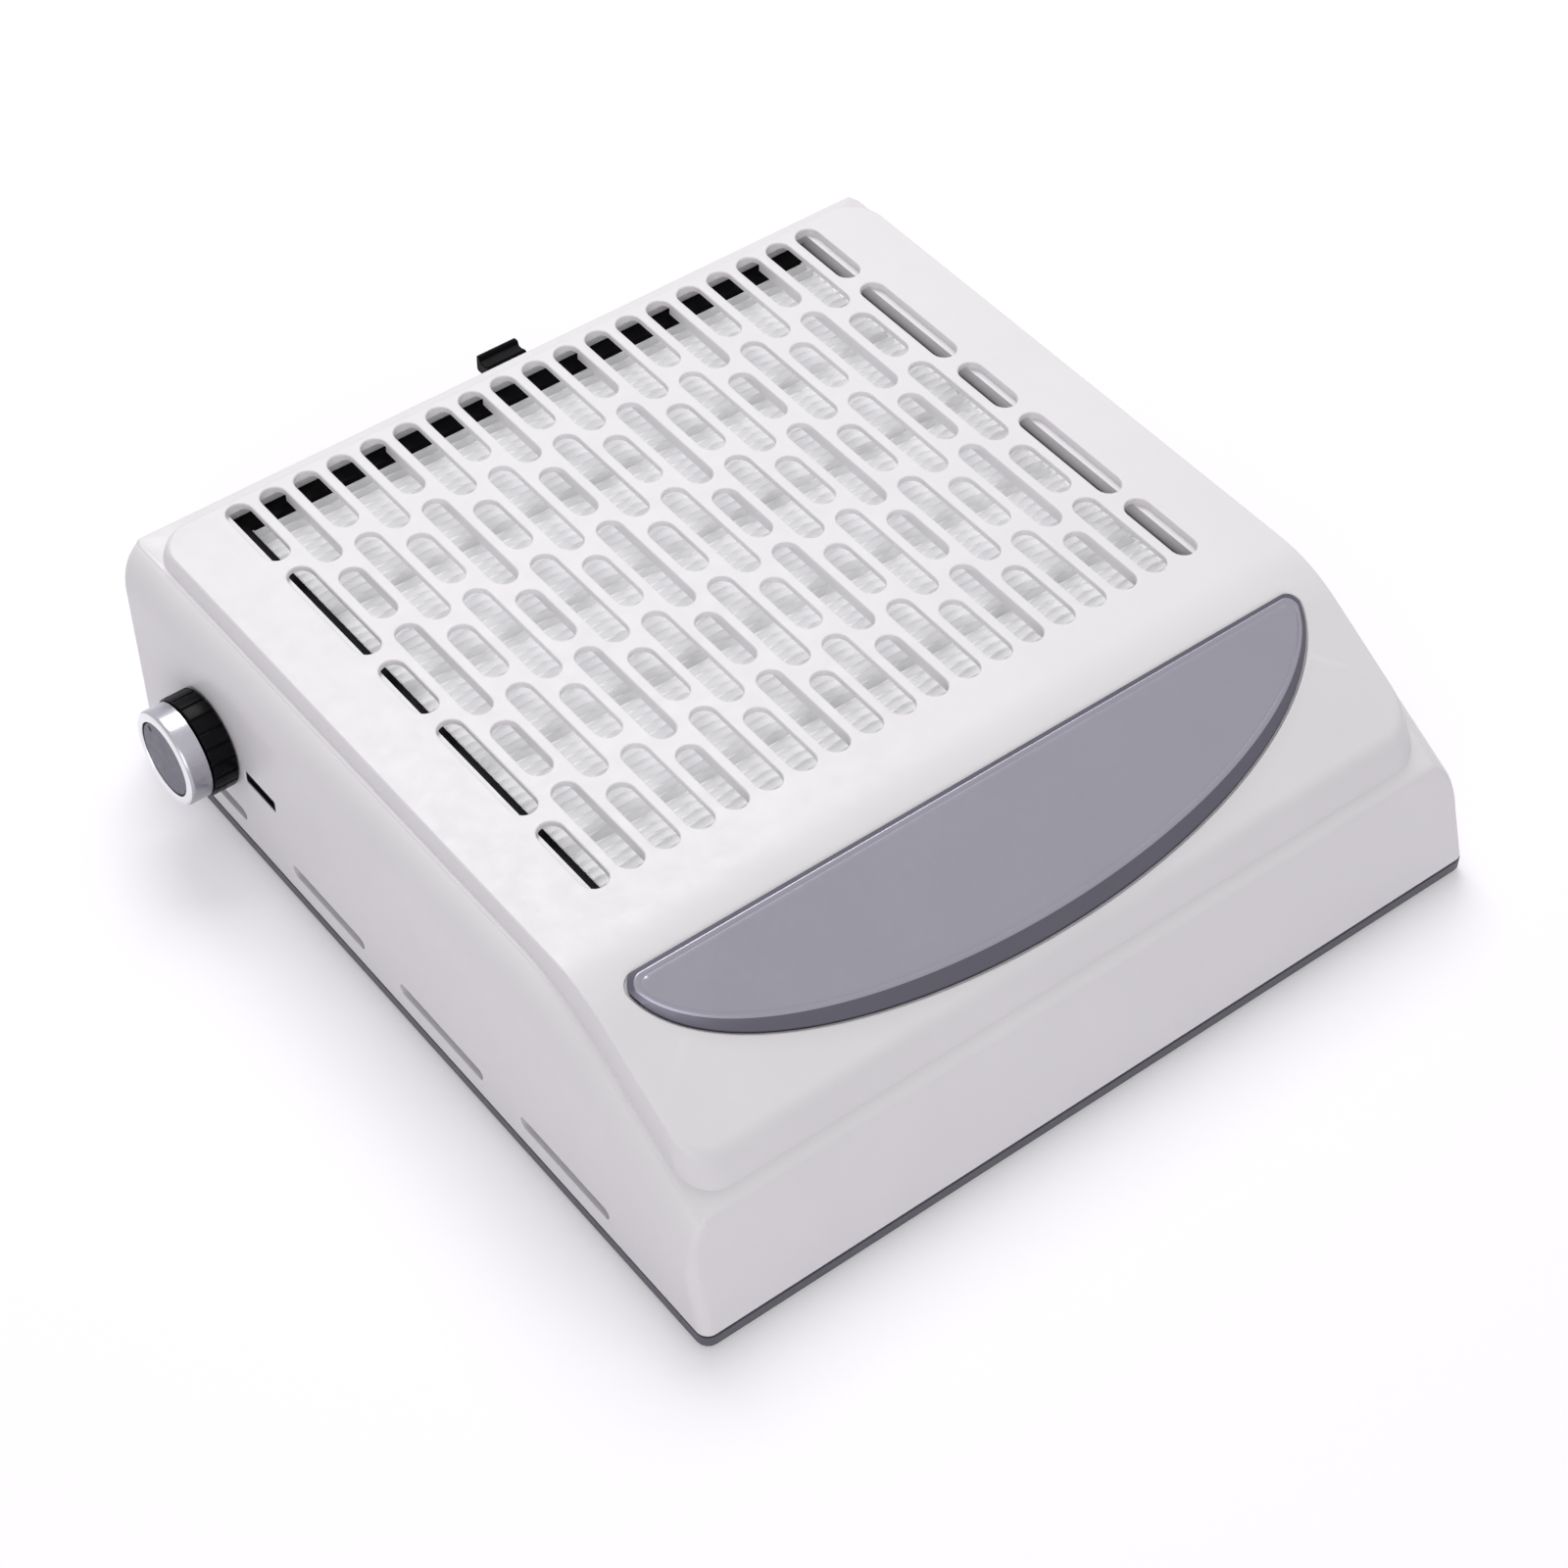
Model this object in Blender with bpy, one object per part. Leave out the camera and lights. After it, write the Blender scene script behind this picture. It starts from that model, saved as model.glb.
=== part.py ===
"""Desk-top nail dust collector: shell, grille, filter cartridge, fan, electronics and speed knob.

Metres, +Z up. X runs across, the hand rest faces -Y, and the desk is at Z = 0. The body's outline at its
base is centred on the origin before the knob and the pull tab, which stick out, shift the whole by half
their reach.
"""

import math

import bmesh
import bpy
from mathutils import Vector

MM = 0.001
CLEAR = 0.3 * MM

# Body outline and heights
BODY_HALF_WIDTH = 120.2 * MM
BODY_DEPTH = 239.6 * MM
CORNER_RADIUS = 3.2 * MM
FOOT_PROUD = 1.8 * MM
BASE_THICK = 3.0 * MM
SHELL_HEIGHT = 63.8 * MM
WALL = 2.5 * MM
ROOF = 2.75 * MM
SIDE_DRAFT = math.radians(0.5)
FRONT_LEAN = math.radians(17.5)
REAR_LEAN = math.radians(3.65)

# Shoulder between the side walls and the ledge, an elliptic arc, and the edges of the front and rear walls
SHOULDER_WIDTH = 9.0 * MM
SHOULDER_DROP = 13.6 * MM
SHOULDER_TURN = math.radians(66.0)
SHOULDER_STEPS = 4
END_EDGE = 0.65 * MM
INNER_CORNER = 1.0 * MM
CORNER_STEPS = 4
CREASE = math.radians(32.0)

# Raised panel and the ledge round it
PANEL_STEP = 4.0 * MM
PANEL_SIDE_INSET = 9.0 * MM
PANEL_FLARE = 1.5 * MM
PANEL_FOOT_DROP = 0.75 * MM
PANEL_REAR_INSET = 7.2 * MM
PANEL_FRONT_INSET = 18.45 * MM
PANEL_FRONT_RUN = 5.65 * MM
PANEL_REAR_RUN = 2.3 * MM
PANEL_RADIUS = 9.5 * MM
PANEL_EDGE = 0.8 * MM
PANEL_EDGE_DROP = 1.2 * MM
LEDGE_RIM = 0.8 * MM
LEDGE_BEND_INSET = 62.4 * MM
LEDGE_SLOPE = math.radians(29.5)

# Sloped front and its hand rest
PAD_REAR_INSET = 55.15 * MM
PAD_SEAT_DROP = 1.8 * MM
PAD_SLOPE = math.radians(29.6)
PAD_SIDE_MARGIN = 8.7 * MM
PAD_DEPTH = 36.0 * MM
PAD_CORNER = 3.5 * MM
PAD_TOP_LIFT = 0.9 * MM
PAD_TOP_SLOPE = math.radians(26.2)
PAD_RIM_DRAFT = 1.0 * MM
PAD_FRONT_DRAFT = 2.2 * MM
PAD_EDGE = 0.4 * MM
PAD_STEPS = 28
BEND_REACH = 10.0 * MM
BEND_ROWS = 5

# Grille
GRILLE_REAR_INSET = 4.15 * MM
GRILLE_FRONT_MARGIN = 23.0 * MM
GRILLE_SIDE_MARGIN = 14.2 * MM
SLOT_WIDTH = 7.0 * MM
SLOT_PITCH = 10.0 * MM
LONG_SLOT = 36.2 * MM
SHORT_SLOT = 20.2 * MM
SLOT_BRIDGE = 4.3 * MM
LEAST_SLOT = 9.0 * MM
SLOT_END_STEPS = 3
RIB_PLACES = (15.0 * MM, 45.0 * MM, 75.0 * MM)
RIB_THICK = 2.0 * MM
RIB_DEPTH = 2.75 * MM

# Filter cartridge and its bay
FILTER_SIDE_INSET = 20.2 * MM
FILTER_RIB_PLAY = 0.4 * MM
FILTER_BAR = 3.0 * MM
FILTER_HEIGHT = 20.0 * MM
FILTER_FRONT_MARGIN = 3.2 * MM
MEDIA_REAR_MARGIN = 3.8 * MM
MEDIA_HEIGHT = 17.6 * MM
PLEAT_PITCH = 3.83 * MM
PLEAT_SHEET = 4.0 * MM
CROSS_BAR_HEIGHT = 2.0 * MM
CROSS_BARS = 4
BAY_PLAY = 0.6 * MM
BAY_WALL = 2.0 * MM
TAB_HALF_WIDTH = 6.2 * MM
TAB_REACH = 15.2 * MM
TAB_LIP = 1.2 * MM
TAB_LIP_HEIGHT = 1.1 * MM
TAB_DEPTH = 4.0 * MM

# Deck under the cartridge, with the air inlet and its guard
DECK_THICK = 2.0 * MM
DECK_RIM = 2.8 * MM
INLET_RADIUS = 46.0 * MM
INLET_LIP = 2.5 * MM
GUARD_BAR = 2.0 * MM
GUARD_HUB = 6.0 * MM
GUARD_RINGS = 3
GUARD_SPOKES = 6
GUARD_STEPS = 4

# Screws
POST_RADIUS = 4.0 * MM
POST_INSET = (15.8 * MM, 15.6 * MM)
DECK_POST_RADIUS = 3.0 * MM
DECK_POST_PLAY = 0.2 * MM
DECK_POST_INSET = 6.6 * MM
SCREW_RADIUS = 1.4 * MM
SCREW_HEAD_RADIUS = 2.9 * MM
SCREW_HEAD_HEIGHT = 1.1 * MM
SCREW_HEAD_TAPER = 0.8
DECK_SCREW_HEAD_RADIUS = 2.4 * MM
SCREW_LENGTH = 10.0 * MM
SCREW_STEPS = 12

# Feet and base
FOOT_RADIUS = 6.0 * MM
FOOT_RECESS = 1.0 * MM
FOOT_INSET = (20.9 * MM, 26.65 * MM)
RIM_THICK = 1.5 * MM
RIM_HEIGHT = 1.5 * MM
RIM_PLAY = 1.0 * MM
ROUND_STEPS = 24

# Motor and fan
SEAT_RADIUS = 24.0 * MM
SEAT_HEIGHT = 1.7 * MM
DAMPER_THICK = 1.5 * MM
DAMPER_BORE = 16.0 * MM
MOTOR_RADIUS = 21.0 * MM
MOTOR_CAP_HEIGHT = 4.0 * MM
BEARING_RADIUS = 4.5 * MM
BEARING_HEIGHT = 1.6 * MM
SHAFT_RADIUS = 1.5 * MM
HUB_PLAY = 3.0 * MM
HUB_WALL = 2.0 * MM
HUB_BOSS_RADIUS = 4.0 * MM
HUB_BOSS_RISE = 1.5 * MM
HUB_ROOM = 0.8 * MM
FAN_RADIUS = 63.0 * MM
FAN_PLATE = 1.5 * MM
FAN_PLATE_GAP = 1.1 * MM
BLADES = 12
BLADE_INNER = 40.0 * MM
BLADE_OUTER = 62.0 * MM
BLADE_THICK = 1.2 * MM
BLADE_PLAY = 1.4 * MM
BLADE_SWEEP = math.radians(8.0)
BLADE_TURN = math.radians(19.0)
FAN_STEPS = 40
FAN_HEADROOM = 0.7 * MM
NUT_RADIUS = 3.4 * MM
NUT_HEIGHT = 1.6 * MM
NUT_SIDES = 6
MOTOR_SCREW_PLACE = 13.0 * MM

# Knob and potentiometer
KNOB_REAR_INSET = 35.6 * MM
KNOB_DROP = 37.6 * MM
GRIP_RADIUS = 13.5 * MM
GRIP_FRONT = 7.26 * MM
GRIP_FLUTES = 20
FLUTE_DEPTH = 0.5 * MM
FLUTE_TURNS = (0.0, 0.7, 0.75, 0.95)
GRIP_WEB = 1.8 * MM
NUT_ROOM = 9.5 * MM
KNOB_CORE_RADIUS = 9.2 * MM
CAP_RADIUS = 13.0 * MM
KNOB_REACH = 13.9 * MM
KNOB_STEPS = 32
CAP_ROUND = 1.2 * MM
CAP_ROUND_SHARE = 0.3
CAP_LIP = 0.4 * MM
FACE_RADIUS = 9.9 * MM
FACE_THICK = 1.2 * MM
FACE_RECESS = 0.4 * MM
DIMPLE_RADIUS = 0.9 * MM
DIMPLE_DEPTH = 0.5 * MM
DIMPLE_PLACE = 8.4 * MM
KNOB_SHAFT_RADIUS = 3.0 * MM
BUSH_RADIUS = 4.5 * MM
BUSH_FRONT = 4.5 * MM
BUSH_NUT_RADIUS = 7.0 * MM
BUSH_NUT_HEIGHT = 2.0 * MM
POT_HALF_WIDTH = 8.0 * MM
POT_BELOW = 9.0 * MM
POT_ABOVE = 8.0 * MM
POT_SHAFT_ROOM = 4.0 * MM

# Electronics on the board
BOARD_THICK = 1.6 * MM
BOARD_OFFSET = 13.3 * MM
BOARD_LENGTH = 60.0 * MM
BOARD_HEADROOM = 0.4 * MM
CLIP_WALL = 2.3 * MM
CLIP_RISE = 7.2 * MM
CLIP_SHELF = 1.9 * MM
CLIP_HALF_LENGTH = 3.0 * MM
CLIP_INSET = 7.0 * MM
INLET_PORT_WIDTH = 13.6 * MM
INLET_PORT_HEIGHT = 3.0 * MM
INLET_PORT_PLACE = 57.85 * MM
INLET_PORT_DROP = 1.5 * MM
INLET_PORT_DEPTH = 6.0 * MM
INLET_BODY_MARGIN = 2.0 * MM
CAPACITOR_RADIUS = 5.0 * MM
CAPACITOR_LENGTH = 12.0 * MM
CAPACITOR_PITCH = 12.0 * MM
HEAT_SINK_SIZE = (12.0 * MM, 14.0 * MM, 16.0 * MM)
HEAT_SINK_FINS = 4
TRANSISTOR_SIZE = (4.0 * MM, 8.0 * MM, 6.0 * MM)
CONNECTOR_SIZE = (7.0 * MM, 8.0 * MM, 6.0 * MM)
LEAD_RADIUS = 0.9 * MM
LEAD_PITCH = 3.0 * MM
LEAD_STEPS = 17
LEAD_ROUND_STEPS = 2
LEAD_DROP = 2.2

# Side vents: the row's ends, and its vents and the gaps between them by turns from the rear
VENT_REAR_INSET = 17.3 * MM
VENT_FRONT_INSET = 36.7 * MM
VENT_ROW = (31.7, 21.3, 32.2, 15.4, 35.3, 15.3, 35.4)
VENT_HEIGHT = 3.5 * MM
VENT_LEVEL = 12.2 * MM

# Places that follow from the sizes
FRONT = -BODY_DEPTH / 2
REAR = BODY_DEPTH / 2
BASE_TOP = FOOT_PROUD + BASE_THICK
SHELL_BOTTOM = BASE_TOP + CLEAR
TOP = BASE_TOP + SHELL_HEIGHT
PANEL_HALF_WIDTH = BODY_HALF_WIDTH - PANEL_SIDE_INSET
PAD_HALF_WIDTH = PANEL_HALF_WIDTH - PAD_SIDE_MARGIN
PAD_REAR = FRONT + PAD_REAR_INSET
PANEL_FRONT = FRONT + PANEL_FRONT_INSET
LEDGE_BEND = FRONT + LEDGE_BEND_INSET
GRILLE_REAR = REAR - GRILLE_REAR_INSET
GRILLE_FRONT = PAD_REAR + GRILLE_FRONT_MARGIN
GRILLE_LENGTH = GRILLE_REAR - GRILLE_FRONT
SIDE_COLUMNS = int((PANEL_HALF_WIDTH - GRILLE_SIDE_MARGIN - SLOT_WIDTH / 2) / SLOT_PITCH + 0.01)
FAN_Y = (GRILLE_REAR + GRILLE_FRONT) / 2
FILTER_HALF_WIDTH = PANEL_HALF_WIDTH - FILTER_SIDE_INSET
FILTER_TOP = TOP - ROOF - RIB_DEPTH - FILTER_RIB_PLAY
FILTER_BOTTOM = FILTER_TOP - FILTER_HEIGHT
FILTER_FRONT = GRILLE_FRONT - FILTER_FRONT_MARGIN
BAY_HALF_WIDTH = FILTER_HALF_WIDTH + BAY_PLAY
BAY_FRONT = FILTER_FRONT - BAY_PLAY
DECK_POST_PLACE = BAY_HALF_WIDTH + BAY_WALL + DECK_POST_PLAY + DECK_POST_RADIUS
DECK_HALF_WIDTH = DECK_POST_PLACE + DECK_RIM
BAY_BOTTOM = FILTER_BOTTOM
DECK_TOP = FILTER_BOTTOM - CLEAR
DECK_BOTTOM = DECK_TOP - DECK_THICK
KNOB_Y = REAR - KNOB_REAR_INSET
KNOB_HEIGHT = TOP - KNOB_DROP
INLET_PORT_LEVEL = KNOB_HEIGHT - INLET_PORT_DROP
BOARD_BOTTOM = BASE_TOP + CLIP_SHELF + CLEAR
BOARD_TOP = DECK_BOTTOM - BOARD_HEADROOM
TAB_END = GRILLE_REAR + TAB_REACH
SINK = 0.6 * MM


def wall_x(height):
    """Half width of the body's outside at a height."""
    return BODY_HALF_WIDTH - (height - BASE_TOP) * math.tan(SIDE_DRAFT)


def front_y(height):
    """Outside of the front wall at a height; the wall leans to the rear."""
    return FRONT + (height - BASE_TOP) * math.tan(FRONT_LEAN)


def rear_y(height):
    """Outside of the rear wall at a height; the wall leans to the rear too."""
    return REAR + (height - BASE_TOP) * math.tan(REAR_LEAN)


def ledge_z(y):
    """Height of the ledge round the raised panel: level, then sloped down to the front wall."""
    return TOP - PANEL_STEP - max(LEDGE_BEND - y, 0.0) * math.tan(LEDGE_SLOPE)


def seat_z(y):
    """Height of the plane that the hand rest lies on."""
    return TOP - PAD_SEAT_DROP - (PAD_REAR - y) * math.tan(PAD_SLOPE)


def panel_z(y):
    """Height of the raised panel: the flat grille, a soft bend and the slope."""
    slope = seat_z(y)
    reach = 2 * BEND_REACH * math.tan(PAD_SLOPE) / 2
    near = max(reach - abs(TOP - slope), 0.0) / reach
    return min(TOP, slope) - near * near * reach / 4


# Panel's rear edge, and the heights where the planes of the front and rear walls meet the ledge
PANEL_REAR = rear_y(TOP) - PANEL_REAR_INSET
FRONT_RISE = 1 - math.tan(FRONT_LEAN) * math.tan(LEDGE_SLOPE)
FRONT_TOP = BASE_TOP + (ledge_z(FRONT) - BASE_TOP) / FRONT_RISE
REAR_TOP = TOP - PANEL_STEP
SHOULDER_FALL = min(SHOULDER_DROP, (FRONT_TOP - SHELL_BOTTOM - WALL) * FRONT_RISE)
BEND_CENTRE = PAD_REAR + PAD_SEAT_DROP / math.tan(PAD_SLOPE)
BEND_STATIONS = tuple(
    BEND_CENTRE + BEND_REACH * (2 * k / (BEND_ROWS - 1) - 1) for k in range(BEND_ROWS)
)

# Levels of the motor and the fan, from the base up
SEAT_TOP = BASE_TOP + SEAT_HEIGHT
MOTOR_BOTTOM = SEAT_TOP + CLEAR + DAMPER_THICK + CLEAR
MOTOR_CAN_BOTTOM = MOTOR_BOTTOM + MOTOR_CAP_HEIGHT + CLEAR
ROTOR_RISE = BEARING_HEIGHT + HUB_ROOM + HUB_WALL + HUB_BOSS_RISE + NUT_HEIGHT + 4 * CLEAR
MOTOR_TOP = DECK_BOTTOM - FAN_HEADROOM - ROTOR_RISE
BEARING_TOP = MOTOR_TOP + CLEAR + BEARING_HEIGHT
BOSS_BOTTOM = BEARING_TOP + CLEAR
HUB_TOP = BOSS_BOTTOM + HUB_ROOM + HUB_WALL
BOSS_TOP = HUB_TOP + HUB_BOSS_RISE
FAN_BOTTOM = MOTOR_CAN_BOTTOM + FAN_PLATE_GAP
SHAFT_TOP = BOSS_TOP + CLEAR + NUT_HEIGHT + CLEAR
BLADE_TOP = DECK_BOTTOM - INLET_LIP - BLADE_PLAY

# Places of the potentiometer and the board, from the left wall inward
KNOB_WALL = wall_x(KNOB_HEIGHT)
KNOB_BACK = wall_x(KNOB_HEIGHT - GRIP_RADIUS) + CLEAR - KNOB_WALL
NUT_BACK = wall_x(KNOB_HEIGHT - BUSH_NUT_RADIUS) + CLEAR - KNOB_WALL
POT_FACE = wall_x(KNOB_HEIGHT + POT_ABOVE) - WALL - CLEAR
CORE_FRONT = KNOB_REACH - FACE_RECESS - FACE_THICK - CLEAR


class Shape:
    """Closed bodies gathered in one mesh."""

    def __init__(self):
        self.mesh = bmesh.new()

    def _shell(self, rings, cyclic):
        """Vertices of the rings and the walls between them."""
        made = [[self.mesh.verts.new(point) for point in ring] for ring in rings]
        pairs = list(zip(made, made[1:]))
        if cyclic:
            pairs.append((made[-1], made[0]))
        for lower, upper in pairs:
            for k in range(len(lower)):
                n = (k + 1) % len(lower)
                self.mesh.faces.new((lower[k], lower[n], upper[n], upper[k]))
        return made

    def loft(self, rings, cyclic=False):
        """Body through rings with as many points each, closed by flat ends or on itself."""
        made = self._shell(rings, cyclic)
        if not cyclic:
            self.mesh.faces.new(list(reversed(made[0])))
            self.mesh.faces.new(made[-1])

    def strip_loft(self, rings):
        """Body through mirrored rings, its ends closed by strips that run across from side to side."""
        made = self._shell(rings, False)
        for ring, turn in ((made[0], True), (made[-1], False)):
            half = len(ring) // 2
            for k in range(half - 1):
                strip = [ring[k], ring[k + 1], ring[-2 - k], ring[-1 - k]]
                self.mesh.faces.new(list(reversed(strip)) if turn else strip)

    def prism(self, outline, low, high, along="Z"):
        """Outline in the plane across an axis, carried along that axis from low to high."""
        place = {
            "X": lambda u, v, w: (w, u, v),
            "Y": lambda u, v, w: (u, w, v),
            "Z": lambda u, v, w: (u, v, w),
        }[along]
        self.loft([[place(u, v, w) for u, v in outline] for w in (low, high)])

    def box(self, low, high):
        """Box between two corners."""
        outline = [(low[0], low[1]), (high[0], low[1]), (high[0], high[1]), (low[0], high[1])]
        self.prism(outline, low[2], high[2])

    def cylinder(self, centre, radius, low, high, steps, along="Z"):
        """Round body about a point of the plane across an axis."""
        self.prism(circle(centre, radius, steps), low, high, along)

    def lathe(self, profile, steps, centre=(0.0, 0.0)):
        """Closed profile of (radius, height) points turned about an upright line."""
        rings = []
        for radius, height in profile:
            rings.append([(x, y, height) for x, y in circle(centre, radius, steps)])
        self.loft(rings, cyclic=True)

    def build(self, name, look, parent, guide=False):
        """Mesh object of the gathered bodies; a guide only cuts or joins."""
        bmesh.ops.triangulate(self.mesh, faces=[f for f in self.mesh.faces if len(f.verts) == 4])
        bmesh.ops.recalc_face_normals(self.mesh, faces=self.mesh.faces)
        data = bpy.data.meshes.new(name)
        self.mesh.to_mesh(data)
        self.mesh.free()
        data.shade_smooth()
        data.set_sharp_from_angle(angle=CREASE)
        obj = bpy.data.objects.new(name, data)
        bpy.context.collection.objects.link(obj)
        obj.parent = parent
        if look:
            data.materials.append(look)
        if guide:
            obj.hide_render = True
            obj.display_type = "WIRE"
        return obj


def circle(centre, radius, steps):
    """Points of a circle, counterclockwise."""
    turns = (2 * math.pi * k / steps for k in range(steps))
    return [(centre[0] + radius * math.cos(a), centre[1] + radius * math.sin(a)) for a in turns]


def slot_outline(centre, length, width, steps):
    """Slot with round ends, its length along the outline's second axis."""
    radius = width / 2
    points = []
    for end in (1, -1):
        for k in range(steps + 1):
            a = math.pi * k / steps + (0 if end > 0 else math.pi)
            y = centre[1] + end * (length / 2 - radius) + radius * math.sin(a)
            points.append((centre[0] + radius * math.cos(a), y))
    return points


def boolean(target, operand, operation):
    """Joins the operand to the target or cuts it out."""
    modifier = target.modifiers.new(operand.name, "BOOLEAN")
    modifier.operation = operation
    modifier.solver = "EXACT"
    modifier.object = operand


def material(name, color, roughness, metallic=0.0):
    """Principled material with plain values."""
    made = bpy.data.materials.new(name)
    made.use_nodes = True
    shader = made.node_tree.nodes["Principled BSDF"]
    shader.inputs["Base Color"].default_value = (*color, 1.0)
    shader.inputs["Roughness"].default_value = roughness
    shader.inputs["Metallic"].default_value = metallic
    made.diffuse_color = (*color, 1.0)
    return made


def corner_angles():
    """Angles of a rounded corner's points from the side on."""
    return [k * math.pi / 2 / CORNER_STEPS for k in range(CORNER_STEPS + 1)]


def mirrored(half):
    """Ring made of the right half's points and their mirror images."""
    return half + [(-x, y, z) for x, y, z in reversed(half)]


def ring(half_width, front, rear, radius, height, stations=BEND_STATIONS):
    """Mirrored ring of a rounded rectangle; height(y, side) shapes it, side being 1 along the sides."""
    angles = corner_angles()
    places = [(a, front + radius * (1 - math.sin(a))) for a in reversed(angles)]
    places += [(0.0, y) for y in stations]
    places += [(a, rear - radius * (1 - math.sin(a))) for a in angles]
    half = []
    for angle, y in places:
        z = height(y, math.cos(angle))
        half.append((half_width - radius * (1 - math.cos(angle)), y, z))
    return mirrored(half)


def front_place(play, drop):
    """Y and height of a line so far in from the front wall and so far below the ledge."""
    z = FRONT_TOP + (play * math.tan(LEDGE_SLOPE) - drop) / FRONT_RISE
    return front_y(z) + play, z


def rear_place(play, drop):
    """Y and height of a line so far in from the rear wall and so far below the ledge."""
    z = REAR_TOP - drop
    return rear_y(z) - play, z


def shoulder_ring(turn, wall, roof):
    """Ring along one line of the side's profile, carried round the corners onto the end walls."""
    up = math.sin(turn)
    across, upward = Vector((SHOULDER_FALL * math.cos(turn), SHOULDER_WIDTH * up)).normalized()
    reach = SHOULDER_WIDTH * (1 - math.cos(turn)) + wall * across
    drop = SHOULDER_FALL * (1 - up) + roof * upward
    radius = INNER_CORNER if wall else CORNER_RADIUS + (END_EDGE - CORNER_RADIUS) * up

    def corner(angle, place):
        fold = radius * (1 - math.cos(angle))
        y, z = place(wall + radius * (1 - math.sin(angle)), drop + fold * upward)
        return wall_x(z) - reach - fold * across, y, z

    half = [corner(angle, front_place) for angle in reversed(corner_angles())]
    for y in BEND_STATIONS:
        z = ledge_z(y) - drop
        half.append((wall_x(z) - reach, y, z))
    half += [corner(angle, rear_place) for angle in corner_angles()]
    return mirrored(half)


def shell_rings(inside, bottom):
    """Rings of the body from its bottom up to the panel's top edge, outside or one wall further in."""
    wall, roof, radius = (WALL, ROOF, INNER_CORNER) if inside else (0.0, 0.0, CORNER_RADIUS)
    ends = (front_y(bottom) + wall, rear_y(bottom) - wall)
    rings = [ring(wall_x(bottom) - wall, *ends, radius, lambda y, side: bottom)]
    turns = [SHOULDER_TURN * k / SHOULDER_STEPS for k in range(SHOULDER_STEPS + 1)]
    rings += [shoulder_ring(turn, wall, roof) for turn in turns]

    def crease_z(y, side):
        return ledge_z(y) - PANEL_FOOT_DROP * side**2 - roof

    foot = PANEL_HALF_WIDTH + PANEL_FLARE - wall
    if not inside:
        ends = (front_y(FRONT_TOP) + END_EDGE, rear_y(REAR_TOP) - END_EDGE)
        rings.append(ring(foot + LEDGE_RIM, *ends, END_EDGE, crease_z))
    ends = (PANEL_FRONT - PANEL_FRONT_RUN + wall, PANEL_REAR + PANEL_REAR_RUN - wall)
    rings.append(ring(foot, *ends, PANEL_RADIUS, crease_z))
    edges = ((-PANEL_EDGE, PANEL_EDGE_DROP), (PANEL_EDGE, 0.0)) if not inside else ((wall, roof),)
    for inset, drop in edges:
        ends = (PANEL_FRONT + inset, PANEL_REAR - inset)
        rings.append(
            ring(
                PANEL_HALF_WIDTH - inset,
                *ends,
                PANEL_RADIUS,
                lambda y, side, drop=drop: panel_z(y) - drop,
            )
        )
    return rings


def column_slots(first, second):
    """Middles and lengths of one column's slots, worked out from the grille's middle to its ends."""
    half = GRILLE_LENGTH / 2
    slots = [(0.0, first)]
    edge = first / 2 + SLOT_BRIDGE
    while edge + second + SLOT_BRIDGE + LEAST_SLOT < half:
        slots += [(side * (edge + second / 2), second) for side in (-1, 1)]
        edge += second + SLOT_BRIDGE
        first, second = second, first
    slots += [(side * (edge + half) / 2, half - edge) for side in (-1, 1)]
    return slots


def cut_grille(cutter):
    """Columns of short and long slots by turns, the middle slot of every second column a short one."""
    for column in range(-SIDE_COLUMNS, SIDE_COLUMNS + 1):
        x = column * SLOT_PITCH
        lengths = (LONG_SLOT, SHORT_SLOT) if column % 2 == 0 else (SHORT_SLOT, LONG_SLOT)
        for y, length in column_slots(*lengths):
            outline = slot_outline((x, FAN_Y + y), length, SLOT_WIDTH, SLOT_END_STEPS)
            cutter.prism(outline, TOP - ROOF - SINK, TOP + SINK)


def cut_side(cutter, side):
    """Row of vents low in one side wall."""
    unit = (BODY_DEPTH - VENT_REAR_INSET - VENT_FRONT_INSET) / sum(VENT_ROW)
    for k in range(0, len(VENT_ROW), 2):
        length = VENT_ROW[k] * unit
        y = REAR - VENT_REAR_INSET - sum(VENT_ROW[:k]) * unit - length / 2
        outline = slot_outline((0.0, 0.0), length, VENT_HEIGHT, 2)
        outline = [(y + v, VENT_LEVEL - u) for u, v in outline]
        ends = sorted(side * reach for reach in (BODY_HALF_WIDTH - 2 * WALL, BODY_HALF_WIDTH + WALL))
        cutter.prism(outline, *ends, along="X")


def port_outline(margin=0.0):
    """Outline of the power slot in the left wall, as (y, z)."""
    width, height = INLET_PORT_WIDTH + 2 * margin, INLET_PORT_HEIGHT + 2 * margin
    y = REAR - INLET_PORT_PLACE
    return [(y + v, INLET_PORT_LEVEL - u) for u, v in slot_outline((0.0, 0.0), width, height, 4)]


def corner_places():
    """Middles of the four screw posts of the base."""
    x = BODY_HALF_WIDTH - POST_INSET[0]
    y = REAR - POST_INSET[1]
    return [(sx * x, sy * y) for sy in (-1, 1) for sx in (-1, 1)]


def deck_post_places():
    """Middles of the four screw posts of the deck."""
    low = BAY_FRONT + DECK_POST_INSET
    high = GRILLE_REAR - DECK_POST_INSET
    return [(sx * DECK_POST_PLACE, y) for y in (low, high) for sx in (-1, 1)]


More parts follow.
